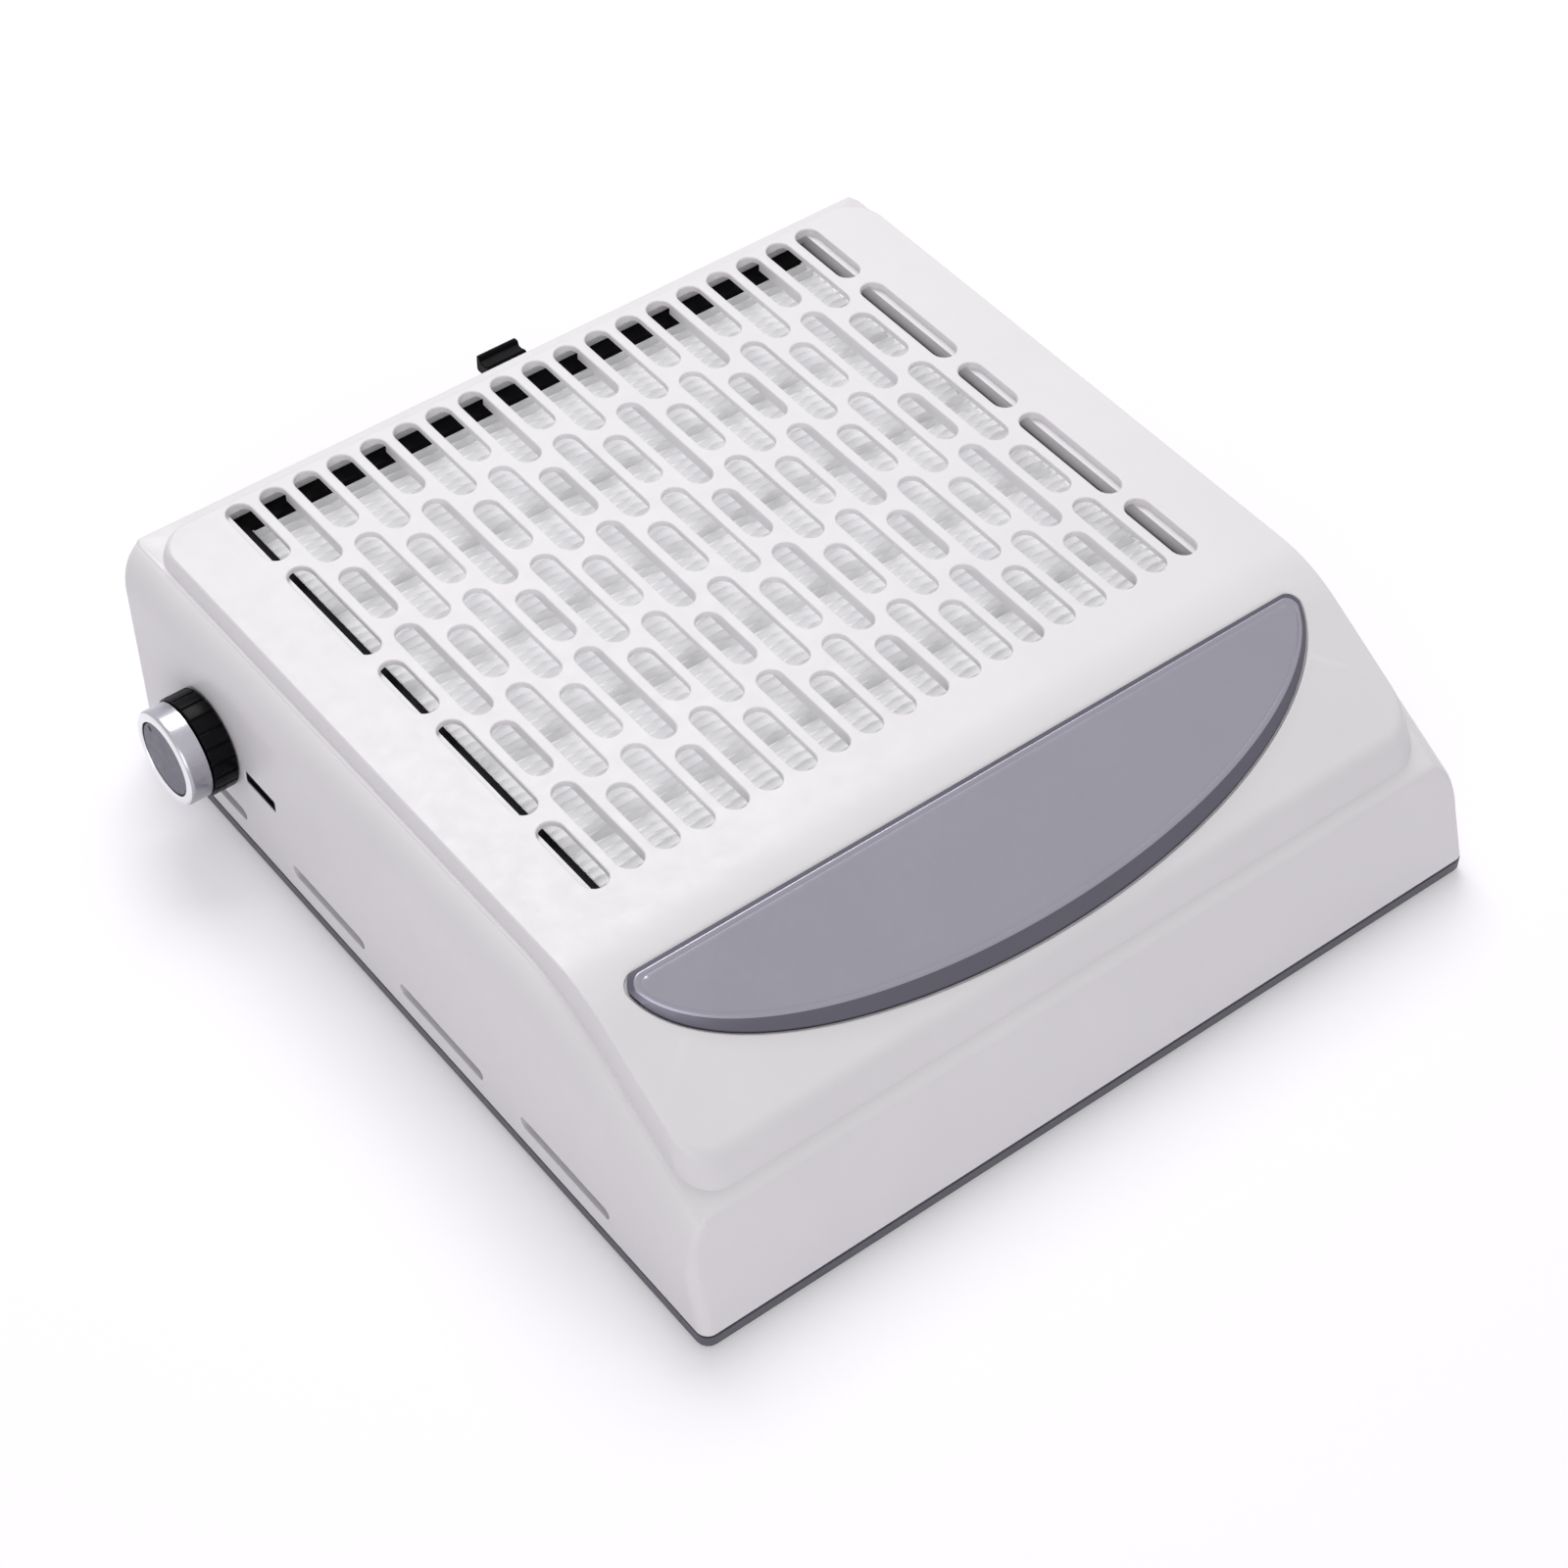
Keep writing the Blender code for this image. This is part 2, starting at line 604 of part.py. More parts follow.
def bay_side(u_shape, side):
    """Side wall of the filter bay, its top following the roof and the ledge at the rear."""
    roof_end = PANEL_REAR - 2 * PANEL_EDGE
    low_top = TOP - PANEL_STEP - ROOF + SINK
    profile = [
        (BAY_FRONT - BAY_WALL, BAY_BOTTOM),
        (rear_y(BAY_BOTTOM) - WALL + SINK, BAY_BOTTOM),
        (rear_y(low_top) - WALL + SINK, low_top),
        (roof_end + PANEL_STEP / 2, low_top),
        (roof_end, TOP - ROOF + SINK),
        (BAY_FRONT - BAY_WALL, TOP - ROOF + SINK),
    ]
    ends = sorted((side * BAY_HALF_WIDTH, side * (BAY_HALF_WIDTH + BAY_WALL)))
    u_shape.prism(profile, *ends, along="X")


def make_housing(parent, look):
    """White moulding: walls, panel, grille, filter bay, ribs, posts and the cut openings."""
    body = Shape()
    body.strip_loft(shell_rings(False, SHELL_BOTTOM))
    housing = body.build("upper_housing", look, parent)

    hollow = Shape()
    hollow.strip_loft(shell_rings(True, SHELL_BOTTOM - WALL))
    boolean(housing, hollow.build("housing_hollow", look, parent, guide=True), "DIFFERENCE")

    walls = Shape()
    for side in (-1, 1):
        bay_side(walls, side)
    for x, y in corner_places():
        roof = TOP - ROOF + SINK if y > 0 else ledge_z(y - POST_RADIUS) - SINK
        walls.cylinder((x, y), POST_RADIUS, SHELL_BOTTOM, roof, SCREW_STEPS)
    boolean(housing, walls.build("housing_walls", look, parent, guide=True), "UNION")

    cross = Shape()
    reach = BAY_HALF_WIDTH + BAY_WALL / 2
    cross.box((-reach, BAY_FRONT - BAY_WALL, BAY_BOTTOM), (reach, BAY_FRONT, TOP - ROOF + SINK))
    for x, y in deck_post_places():
        cross.cylinder((x, y), DECK_POST_RADIUS, BAY_BOTTOM, TOP - ROOF + SINK, SCREW_STEPS)
    boolean(housing, cross.build("housing_front_bay", look, parent, guide=True), "UNION")

    ribs = Shape()
    for place in RIB_PLACES:
        for x in (-place, place):
            low = (x - RIB_THICK / 2, BAY_FRONT - BAY_WALL / 2, TOP - ROOF - RIB_DEPTH)
            ribs.box(low, (x + RIB_THICK / 2, GRILLE_REAR - WALL, TOP - ROOF + SINK / 2))
    boolean(housing, ribs.build("housing_ribs", look, parent, guide=True), "UNION")

    cutter = Shape()
    cut_grille(cutter)
    for side in (-1, 1):
        cut_side(cutter, side)
    wall = wall_x(KNOB_HEIGHT)
    cutter.prism(port_outline(), -wall - 2 * WALL, -wall + 2 * WALL, along="X")
    knob_hole = (KNOB_Y, KNOB_HEIGHT)
    radius = BUSH_RADIUS + CLEAR
    cutter.cylinder(knob_hole, radius, -wall - 2 * WALL, -wall + 2 * WALL, ROUND_STEPS, along="X")
    mouth = (-BAY_HALF_WIDTH, GRILLE_REAR - WALL, DECK_TOP)
    cutter.box(mouth, (BAY_HALF_WIDTH, rear_y(TOP) + WALL, FILTER_TOP + CLEAR))
    for x, y in corner_places():
        cut = (SHELL_BOTTOM - WALL, SHELL_BOTTOM + SCREW_LENGTH + WALL)
        cutter.cylinder((x, y), SCREW_RADIUS + CLEAR, *cut, SCREW_STEPS)
    for x, y in deck_post_places():
        cut = (BAY_BOTTOM - WALL, BAY_BOTTOM + SCREW_LENGTH + WALL)
        cutter.cylinder((x, y), SCREW_RADIUS + CLEAR, *cut, SCREW_STEPS)
    boolean(housing, cutter.build("housing_cuts", look, parent, guide=True), "DIFFERENCE")
    return housing


def flat_outline(inset):
    """Outline of the body at its base, moved inward."""
    radius = INNER_CORNER if inset else CORNER_RADIUS
    ends = (FRONT + inset, REAR - inset)
    points = ring(BODY_HALF_WIDTH - inset, *ends, radius, lambda y, side: 0.0, stations=())
    return [(x, y) for x, y, z in points]


def foot_places():
    """Middles of the four rubber feet."""
    x, y = BODY_HALF_WIDTH - FOOT_INSET[0], REAR - FOOT_INSET[1]
    return [(sx * x, sy * y) for sy in (-1, 1) for sx in (-1, 1)]


def board_face():
    """X of the control board's outer face."""
    return -BODY_HALF_WIDTH + BOARD_OFFSET


def board_span():
    """Y of the control board's front and rear ends, set so that the knob's potentiometer lies on it."""
    rear = KNOB_Y + POT_HALF_WIDTH + CLIP_INSET
    return rear - BOARD_LENGTH, rear


def make_base(parent, look):
    """Dark base plate with its rim, motor seat, board clips, screw holes and foot recesses."""
    plate = Shape()
    plate.prism(flat_outline(0.0), FOOT_PROUD, BASE_TOP)
    base = plate.build("base_plate", look, parent)

    rim = Shape()
    outer, inner = flat_outline(WALL + RIM_PLAY), flat_outline(WALL + RIM_PLAY + RIM_THICK)
    low, high = BASE_TOP - SINK, BASE_TOP + RIM_HEIGHT
    loops = ((outer, low), (outer, high), (inner, high), (inner, low))
    rim.loft([[(x, y, z) for x, y in outline] for outline, z in loops], cyclic=True)
    rim.cylinder((0.0, FAN_Y), SEAT_RADIUS, low, BASE_TOP + SEAT_HEIGHT, ROUND_STEPS)
    face, shelf, top = board_face(), BASE_TOP + CLIP_SHELF, BASE_TOP + CLIP_RISE
    inside = (face - CLEAR, face + BOARD_THICK + CLEAR)
    outside = (inside[0] - CLIP_WALL, inside[1] + CLIP_WALL)
    fork = [(outside[0], low), (outside[1], low), (outside[1], top), (inside[1], top)]
    fork += [(inside[1], shelf), (inside[0], shelf), (inside[0], top), (outside[0], top)]
    for end, inward in zip(board_span(), (1, -1)):
        middle = end + inward * CLIP_INSET
        rim.prism(fork, middle - CLIP_HALF_LENGTH, middle + CLIP_HALF_LENGTH, along="Y")
    boolean(base, rim.build("base_raised_parts", look, parent, guide=True), "UNION")

    cutter = Shape()
    for x, y in foot_places():
        recess = (FOOT_PROUD - SINK, FOOT_PROUD + FOOT_RECESS)
        cutter.cylinder((x, y), FOOT_RADIUS + CLEAR, *recess, ROUND_STEPS)
    holes = [(place, BASE_TOP) for place in corner_places()]
    holes += [(place, BASE_TOP + SEAT_HEIGHT) for place in motor_screw_places()]
    for (x, y), top in holes:
        head = FOOT_PROUD + SCREW_HEAD_HEIGHT + 2 * CLEAR
        rings = ((SCREW_HEAD_RADIUS + CLEAR, FOOT_PROUD - SINK), (SCREW_HEAD_RADIUS + CLEAR, head))
        rings += ((SCREW_RADIUS + CLEAR, head), (SCREW_RADIUS + CLEAR, top + SINK))
        loops = [[(u, v, z) for u, v in circle((x, y), radius, SCREW_STEPS)] for radius, z in rings]
        cutter.loft(loops)
    boolean(base, cutter.build("base_cuts", look, parent, guide=True), "DIFFERENCE")
    return base


def make_screw(name, place, low, radius, parent, look, length=SCREW_LENGTH):
    """Pan-head screw driven upward: its head at the bottom, its shank above."""
    x, y = place
    head = low + SCREW_HEAD_HEIGHT
    rings = ((SCREW_HEAD_TAPER * radius, low), (radius, low + SCREW_HEAD_HEIGHT / 2), (radius, head))
    rings += ((SCREW_RADIUS, head), (SCREW_RADIUS, head + length))
    screw = Shape()
    screw.loft([[(u, v, z) for u, v in circle((x, y), r, SCREW_STEPS)] for r, z in rings])
    return screw.build(name, look, parent)


def pad_outline(inset_front, inset_side, lift):
    """D-shaped outline of the hand rest: a straight rear edge with round corners and half an ellipse."""
    width, depth = PAD_HALF_WIDTH - inset_side, PAD_DEPTH - inset_front
    points = []
    for k in range(1, PAD_STEPS):
        a = math.pi * k / PAD_STEPS
        points.append((-width * math.cos(a), PAD_REAR - depth * math.sin(a)))
    corner = [k * math.pi / 8 for k in range(5)]
    rear = PAD_REAR - inset_side
    middle = width - PAD_CORNER
    right = [(middle + PAD_CORNER * math.cos(a), rear - PAD_CORNER * (1 - math.sin(a))) for a in corner]
    points += right + [(-x, y) for x, y in reversed(right)]
    return [(x, y, lift(y)) for x, y in points]


def pad_top_z(y):
    """Height of the hand rest's top plane."""
    return seat_z(PAD_REAR) + PAD_TOP_LIFT - (PAD_REAR - y) * math.tan(PAD_TOP_SLOPE)


def make_pad(parent, look):
    """Hand rest: a metallic wedge on the slope, its rim leaning outward to the front."""
    pad = Shape()
    rings = [
        pad_outline(0.0, 0.0, lambda y: seat_z(y) + CLEAR),
        pad_outline(PAD_FRONT_DRAFT, PAD_RIM_DRAFT, lambda y: pad_top_z(y) - PAD_EDGE),
        pad_outline(PAD_FRONT_DRAFT + PAD_EDGE, PAD_RIM_DRAFT + PAD_EDGE, pad_top_z),
    ]
    pad.loft(rings)
    return pad.build("hand_rest_pad", look, parent)


def media_span():
    """Y of the pleated paper's front and rear ends."""
    return FILTER_FRONT + FILTER_BAR + CLEAR, GRILLE_REAR - MEDIA_REAR_MARGIN - CLEAR


def make_filter_frame(parent, look):
    """Black cartridge frame: four bars, cross bars under the paper and the pull tab behind."""
    front, rear = media_span()
    front, rear = front - CLEAR, rear + CLEAR
    bars = Shape()
    outline = [(FILTER_FRONT, FILTER_BOTTOM), (rear_y(FILTER_BOTTOM), FILTER_BOTTOM)]
    outline += [(rear_y(FILTER_TOP) - CLEAR, FILTER_TOP), (FILTER_FRONT, FILTER_TOP)]
    bars.prism(outline, -FILTER_HALF_WIDTH, FILTER_HALF_WIDTH, along="X")
    frame = bars.build("filter_frame", look, parent)

    tab = Shape()
    start = rear_y(FILTER_TOP) - FILTER_BAR
    top, lip_top = FILTER_TOP - SINK / 2, FILTER_TOP + TAB_LIP_HEIGHT
    lip = TAB_END - TAB_LIP
    profile = [(start, FILTER_TOP - TAB_DEPTH), (TAB_END, FILTER_TOP - TAB_DEPTH), (TAB_END, lip_top)]
    profile += [(lip, lip_top), (lip, top), (start, top)]
    tab.prism(profile, -TAB_HALF_WIDTH, TAB_HALF_WIDTH, along="X")
    boolean(frame, tab.build("filter_tab", look, parent, guide=True), "UNION")

    window = Shape()
    side = FILTER_HALF_WIDTH - FILTER_BAR
    floor = FILTER_BOTTOM + CROSS_BAR_HEIGHT
    window.box((-side, front, floor), (side, rear, FILTER_TOP + SINK))
    boolean(frame, window.build("filter_window", look, parent, guide=True), "DIFFERENCE")

    fields = Shape()
    field = (rear - front) / (CROSS_BARS + 1)
    inner = FILTER_BAR / 2
    for k in range(CROSS_BARS + 1):
        low, high = front + k * field + inner, front + (k + 1) * field - inner
        for left, right in ((inner - side, -inner), (inner, side - inner)):
            fields.box((left, low, FILTER_BOTTOM - SINK), (right, high, floor + SINK))
    boolean(frame, fields.build("filter_fields", look, parent, guide=True), "DIFFERENCE")
    return frame


def make_media(parent, look):
    """Pleated paper: one folded sheet whose folds run across."""
    front, rear = media_span()
    half = FILTER_HALF_WIDTH - FILTER_BAR - CLEAR
    low = FILTER_BOTTOM + CROSS_BAR_HEIGHT + CLEAR
    pleats = round((rear - front) / PLEAT_PITCH)
    upper, under = [], []
    for k in range(2 * pleats + 1):
        y = front + (rear - front) * k / (2 * pleats)
        base = low + (MEDIA_HEIGHT - PLEAT_SHEET if k % 2 else 0.0)
        upper.append((y, base + PLEAT_SHEET))
        under.append((y, base))
    media = Shape()
    media.prism(under + upper[::-1], -half, half, along="X")
    return media.build("filter_media", look, parent)


def make_deck(parent, look):
    """Plate under the cartridge with a guarded round air inlet and its lip over the fan."""
    plate = Shape()
    rear = rear_y(DECK_BOTTOM) - WALL - CLEAR
    low = (-DECK_HALF_WIDTH, BAY_FRONT - BAY_WALL, DECK_BOTTOM)
    plate.box(low, (DECK_HALF_WIDTH, rear, DECK_TOP))
    deck = plate.build("filter_deck", look, parent)

    lip = Shape()
    bottom, top = DECK_BOTTOM - INLET_LIP, DECK_BOTTOM + SINK
    outer = INLET_RADIUS + GUARD_BAR
    profile = [(INLET_RADIUS, bottom), (outer, bottom), (outer, top), (INLET_RADIUS, top)]
    lip.lathe(profile, ROUND_STEPS, (0.0, FAN_Y))
    boolean(deck, lip.build("inlet_lip", look, parent, guide=True), "UNION")

    cutter = Shape()
    field = (INLET_RADIUS - GUARD_HUB) / GUARD_RINGS
    for k in range(GUARD_RINGS):
        inner = GUARD_HUB + k * field + (GUARD_BAR if k else 0.0)
        reach = GUARD_HUB + (k + 1) * field
        for spoke in range(GUARD_SPOKES):
            start = 2 * math.pi * spoke / GUARD_SPOKES
            outline = sector_outline(inner, reach, start, start + 2 * math.pi / GUARD_SPOKES, GUARD_STEPS)
            outline = [(x, y + FAN_Y) for x, y in outline]
            cutter.prism(outline, DECK_BOTTOM - SINK, DECK_TOP + SINK)
    for x, y in deck_post_places():
        cutter.cylinder((x, y), SCREW_RADIUS + CLEAR, DECK_BOTTOM - SINK, DECK_TOP + SINK, SCREW_STEPS)
    boolean(deck, cutter.build("deck_cuts", look, parent, guide=True), "DIFFERENCE")
    return deck


def sector_outline(inner, outer, start, end, steps):
    """Part of a ring between two spokes."""
    points = []
    for radius, order in ((inner, range(steps + 1)), (outer, range(steps, -1, -1))):
        play = math.asin(GUARD_BAR / 2 / radius)
        for k in order:
            a = start + play + (end - start - 2 * play) * k / steps
            points.append((radius * math.cos(a), radius * math.sin(a)))
    return points


def motor_screw_places():
    """Middles of the two screws that hold the motor from below."""
    return [(side * MOTOR_SCREW_PLACE, FAN_Y) for side in (-1, 1)]


def make_motor(parent, looks):
    """Motor: steel can, end cap, rubber ring below, bearing above and its two screws."""
    centre = (0.0, FAN_Y)
    bore = SHAFT_RADIUS + CLEAR
    can = Shape()
    edge = MOTOR_TOP - FAN_PLATE
    profile = [(bore, MOTOR_CAN_BOTTOM), (MOTOR_RADIUS, MOTOR_CAN_BOTTOM), (MOTOR_RADIUS, edge)]
    profile += [(MOTOR_RADIUS - FAN_PLATE, MOTOR_TOP), (bore, MOTOR_TOP)]
    can.lathe(profile, ROUND_STEPS, centre)
    can = can.build("motor_can", looks["steel"], parent)

    cap = Shape()
    cap.cylinder(centre, MOTOR_RADIUS, MOTOR_BOTTOM, MOTOR_BOTTOM + MOTOR_CAP_HEIGHT, ROUND_STEPS)
    cap = cap.build("motor_end_cap", looks["black"], parent)

    cutter = Shape()
    for x, y in motor_screw_places():
        top = motor_screw_low() + SCREW_HEAD_HEIGHT + SCREW_LENGTH + CLEAR
        cutter.cylinder((x, y), SCREW_RADIUS + CLEAR, MOTOR_BOTTOM - SINK, top, SCREW_STEPS)
    holes = cutter.build("motor_holes", looks["steel"], parent, guide=True)
    boolean(can, holes, "DIFFERENCE")
    boolean(cap, holes, "DIFFERENCE")

    damper = Shape()
    low, high = SEAT_TOP + CLEAR, SEAT_TOP + CLEAR + DAMPER_THICK
    profile = [(DAMPER_BORE, low), (MOTOR_RADIUS, low), (MOTOR_RADIUS, high), (DAMPER_BORE, high)]
    damper.lathe(profile, ROUND_STEPS, centre)
    damper.build("motor_damper", looks["rubber"], parent)

    bearing = Shape()
    low, high = MOTOR_TOP + CLEAR, BEARING_TOP
    profile = [(bore, low), (BEARING_RADIUS, low), (BEARING_RADIUS, high), (bore, high)]
    bearing.lathe(profile, SCREW_STEPS, centre)
    bearing.build("motor_bearing", looks["brass"], parent)

    for k, place in enumerate(motor_screw_places(), 1):
        make_screw(f"motor_screw_{k}", place, motor_screw_low(), SCREW_HEAD_RADIUS, parent, looks["screw"])


def motor_screw_low():
    """Bottom of the heads of the screws in the base."""
    return FOOT_PROUD + CLEAR


def blade_outline(turn):
    """Straight blade seen from above, its outer end behind its inner one as the fan turns."""
    front, back = [], []
    for radius, a in ((BLADE_INNER, turn), (BLADE_OUTER, turn - BLADE_SWEEP)):
        for points, side in ((front, 1), (back, -1)):
            b = a + side * BLADE_THICK / 2 / radius
            points.append((radius * math.cos(b), radius * math.sin(b)))
    return back + front[::-1]


def make_rotor(parent, looks):
    """Fan wheel with its cup over the motor, the shaft and the nut on it."""
    bore = SHAFT_RADIUS + CLEAR
    inner = MOTOR_RADIUS + HUB_PLAY
    outer = inner + HUB_WALL
    plate_top = FAN_BOTTOM + FAN_PLATE
    under = HUB_TOP - HUB_WALL
    profile = [(bore, BOSS_BOTTOM), (HUB_BOSS_RADIUS, BOSS_BOTTOM), (HUB_BOSS_RADIUS, under), (inner, under)]
    profile += [(inner, FAN_BOTTOM), (FAN_RADIUS, FAN_BOTTOM), (FAN_RADIUS, plate_top), (outer, plate_top)]
    profile += [(outer, HUB_TOP), (HUB_BOSS_RADIUS, HUB_TOP), (HUB_BOSS_RADIUS, BOSS_TOP), (bore, BOSS_TOP)]
    wheel = Shape()
    wheel.lathe(profile, FAN_STEPS, (0.0, 0.0))
    wheel = wheel.build("impeller", looks["impeller"], parent)
    blades = Shape()
    for k in range(BLADES):
        outline = blade_outline(BLADE_TURN + 2 * math.pi * k / BLADES)
        blades.prism(outline, plate_top - SINK, BLADE_TOP)
    boolean(wheel, blades.build("impeller_blades", looks["impeller"], parent, guide=True), "UNION")

    shaft = Shape()
    shaft.cylinder((0.0, 0.0), SHAFT_RADIUS, MOTOR_CAN_BOTTOM + CLEAR, SHAFT_TOP, SCREW_STEPS)
    shaft.build("motor_shaft", looks["steel"], parent)
    nut = Shape()
    low = BOSS_TOP + CLEAR
    high = low + NUT_HEIGHT
    nut.lathe([(NUT_RADIUS, low), (NUT_RADIUS, high), (bore, high), (bore, low)], NUT_SIDES)
    nut.build("impeller_nut", looks["brass"], parent)


def fluted_outline():
    """Outline of the knob's fluted skirt."""
    points = []
    for k in range(4 * GRIP_FLUTES):
        radius = GRIP_RADIUS - (FLUTE_DEPTH if k % 4 in (2, 3) else 0.0)
        a = 2 * math.pi * (k // 4 + FLUTE_TURNS[k % 4]) / GRIP_FLUTES
        points.append((radius * math.cos(a), radius * math.sin(a)))
    return points


def make_knob(parent, looks):
    """Speed knob about its own axis, local +Z pointing out of the wall."""
    skirt = Shape()
    skirt.prism(fluted_outline(), KNOB_BACK, GRIP_FRONT)
    grip = skirt.build("knob_grip", looks["knob_black"], parent)
    core = Shape()
    core.cylinder((0.0, 0.0), KNOB_CORE_RADIUS, GRIP_FRONT - SINK, CORE_FRONT, ROUND_STEPS)
    boolean(grip, core.build("knob_core", looks["knob_black"], parent, guide=True), "UNION")
    room = Shape()
    web = GRIP_FRONT - GRIP_WEB
    room.cylinder((0.0, 0.0), NUT_ROOM, KNOB_BACK - SINK, web, ROUND_STEPS)
    boolean(grip, room.build("knob_room", looks["knob_black"], parent, guide=True), "DIFFERENCE")
    bore = Shape()
    radius = KNOB_SHAFT_RADIUS + CLEAR
    bore.cylinder((0.0, 0.0), radius, web - SINK, CORE_FRONT - 2 * CLEAR, ROUND_STEPS)
    boolean(grip, bore.build("knob_bore", looks["knob_black"], parent, guide=True), "DIFFERENCE")

    low, front = GRIP_FRONT + CLEAR, KNOB_REACH
    inner, mouth = KNOB_CORE_RADIUS + CLEAR, FACE_RADIUS + CLEAR
    profile = [(inner, low), (CAP_RADIUS, low), (CAP_RADIUS, front - CAP_ROUND)]
    bevel = CAP_ROUND_SHARE * CAP_ROUND
    profile += [(CAP_RADIUS - bevel, front - bevel), (CAP_RADIUS - CAP_ROUND, front)]
    profile += [(mouth + CAP_LIP, front), (mouth, front - CAP_LIP), (mouth, CORE_FRONT), (inner, CORE_FRONT)]
    cap = Shape()
    cap.lathe(profile, KNOB_STEPS)
    cap.build("knob_cap", looks["aluminium"], parent)

    disc = Shape()
    disc.cylinder((0.0, 0.0), FACE_RADIUS, CORE_FRONT + CLEAR, front - FACE_RECESS, KNOB_STEPS)
    face = disc.build("knob_face", looks["knob_face"], parent)
    dimple = Shape()
    place = DIMPLE_PLACE * math.sqrt(0.5)
    level = front - FACE_RECESS
    dimple.cylinder((place, place), DIMPLE_RADIUS, level - DIMPLE_DEPTH, level + SINK, SCREW_STEPS)
    boolean(face, dimple.build("knob_dimple", looks["knob_face"], parent, guide=True), "DIFFERENCE")

    shaft = Shape()
    low = POT_FACE - KNOB_WALL - POT_SHAFT_ROOM + CLEAR
    shaft.cylinder((0.0, 0.0), KNOB_SHAFT_RADIUS, low, CORE_FRONT - 3 * CLEAR, ROUND_STEPS)
    shaft.build("knob_shaft", looks["aluminium"], parent)


def make_potentiometer(parent, looks):
    """Body of the speed control, its threaded bush through the wall and the nut, about the knob's axis."""
    bore = KNOB_SHAFT_RADIUS + CLEAR
    face = POT_FACE - KNOB_WALL
    back = BODY_HALF_WIDTH - BOARD_OFFSET - KNOB_WALL + CLEAR
    box = Shape()
    box.box((-POT_BELOW, -POT_HALF_WIDTH, back), (POT_ABOVE, POT_HALF_WIDTH, face))
    body = box.build("potentiometer_body", looks["pot"], parent)
    hole = Shape()
    hole.cylinder((0.0, 0.0), bore, face - POT_SHAFT_ROOM, face + SINK, ROUND_STEPS)
    boolean(body, hole.build("potentiometer_bore", looks["pot"], parent, guide=True), "DIFFERENCE")

    bush = Shape()
    low = face + CLEAR
    profile = [(bore, low), (BUSH_RADIUS, low), (BUSH_RADIUS, BUSH_FRONT), (bore, BUSH_FRONT)]
    bush.lathe(profile, ROUND_STEPS)
    bush.build("potentiometer_bush", looks["brass"], parent)

    nut = Shape()
    low, high, inner = NUT_BACK, NUT_BACK + BUSH_NUT_HEIGHT, BUSH_RADIUS + CLEAR
    profile = [(inner, low), (BUSH_NUT_RADIUS, low), (BUSH_NUT_RADIUS, high), (inner, high)]
    nut.lathe(profile, 2 * NUT_SIDES)
    nut.build("potentiometer_nut", looks["steel"], parent)


def make_board(parent, looks):
    """Upright control board and what is soldered to it."""
    face = board_face()
    low_y, high_y = board_span()
    board = Shape()
    board.box((face, low_y, BOARD_BOTTOM), (face + BOARD_THICK, high_y, BOARD_TOP))
    board.build("control_board", looks["board"], parent)

    y, z = REAR - INLET_PORT_PLACE, INLET_PORT_LEVEL
    half = INLET_PORT_WIDTH / 2 + INLET_BODY_MARGIN
    rise = INLET_PORT_HEIGHT / 2 + INLET_BODY_MARGIN
    front = -(wall_x(z + rise) - WALL - CLEAR)
    socket = Shape()
    socket.box((front, y - half, z - rise), (face - CLEAR, y + half, z + rise))
    socket = socket.build("power_inlet", looks["black"], parent)
    port = Shape()
    port.prism(port_outline(), front - SINK, front + INLET_PORT_DEPTH, along="X")
    boolean(socket, port.build("inlet_port", looks["black"], parent, guide=True), "DIFFERENCE")

    inner = face + BOARD_THICK + CLEAR
    level = (BOARD_BOTTOM + BOARD_TOP) / 2
    for k in (0, 1):
        y = KNOB_Y - k * CAPACITOR_PITCH
        can = Shape()
        ends = (inner, inner + CAPACITOR_LENGTH)
        can.cylinder((y, level), CAPACITOR_RADIUS, *ends, ROUND_STEPS, along="X")
        can.build(f"capacitor_{k + 1}", looks["capacitor"], parent)

    depth, length, height = HEAT_SINK_SIZE
    y = KNOB_Y - 2 * CAPACITOR_PITCH - CAPACITOR_RADIUS
    sink = Shape()
    pitch = length / HEAT_SINK_FINS
    foot = depth / 4
    outline = [(inner, y), (inner, y - length)]
    for k in range(HEAT_SINK_FINS):
        start = y - length + k * pitch
        outline += [(inner + depth, start), (inner + depth, start + pitch / 2)]
        if k < HEAT_SINK_FINS - 1:
            outline += [(inner + foot, start + pitch / 2), (inner + foot, start + pitch)]
    outline[-1] = (inner + depth, y)
    sink.prism(outline, level - height / 2, level + height / 2)
    sink.build("heat_sink", looks["aluminium"], parent)

    tx, ty, tz = TRANSISTOR_SIZE
    top = level + height / 2 + CLEAR
    chip = Shape()
    chip.box((inner, y - length / 2 - ty / 2, top), (inner + tx, y - length / 2 + ty / 2, top + tz))
    chip.build("transistor", looks["black"], parent)

    cx, cy, cz = CONNECTOR_SIZE
    y = lead_plug_y()
    plug = Shape()
    plug.box((inner, y - cy / 2, BOARD_BOTTOM), (inner + cx, y + cy / 2, BOARD_BOTTOM + cz))
    plug.build("lead_connector", looks["connector"], parent)


def lead_plug_y():
    """Y of the middle of the connector where the motor's leads end."""
    return KNOB_Y - CAPACITOR_PITCH


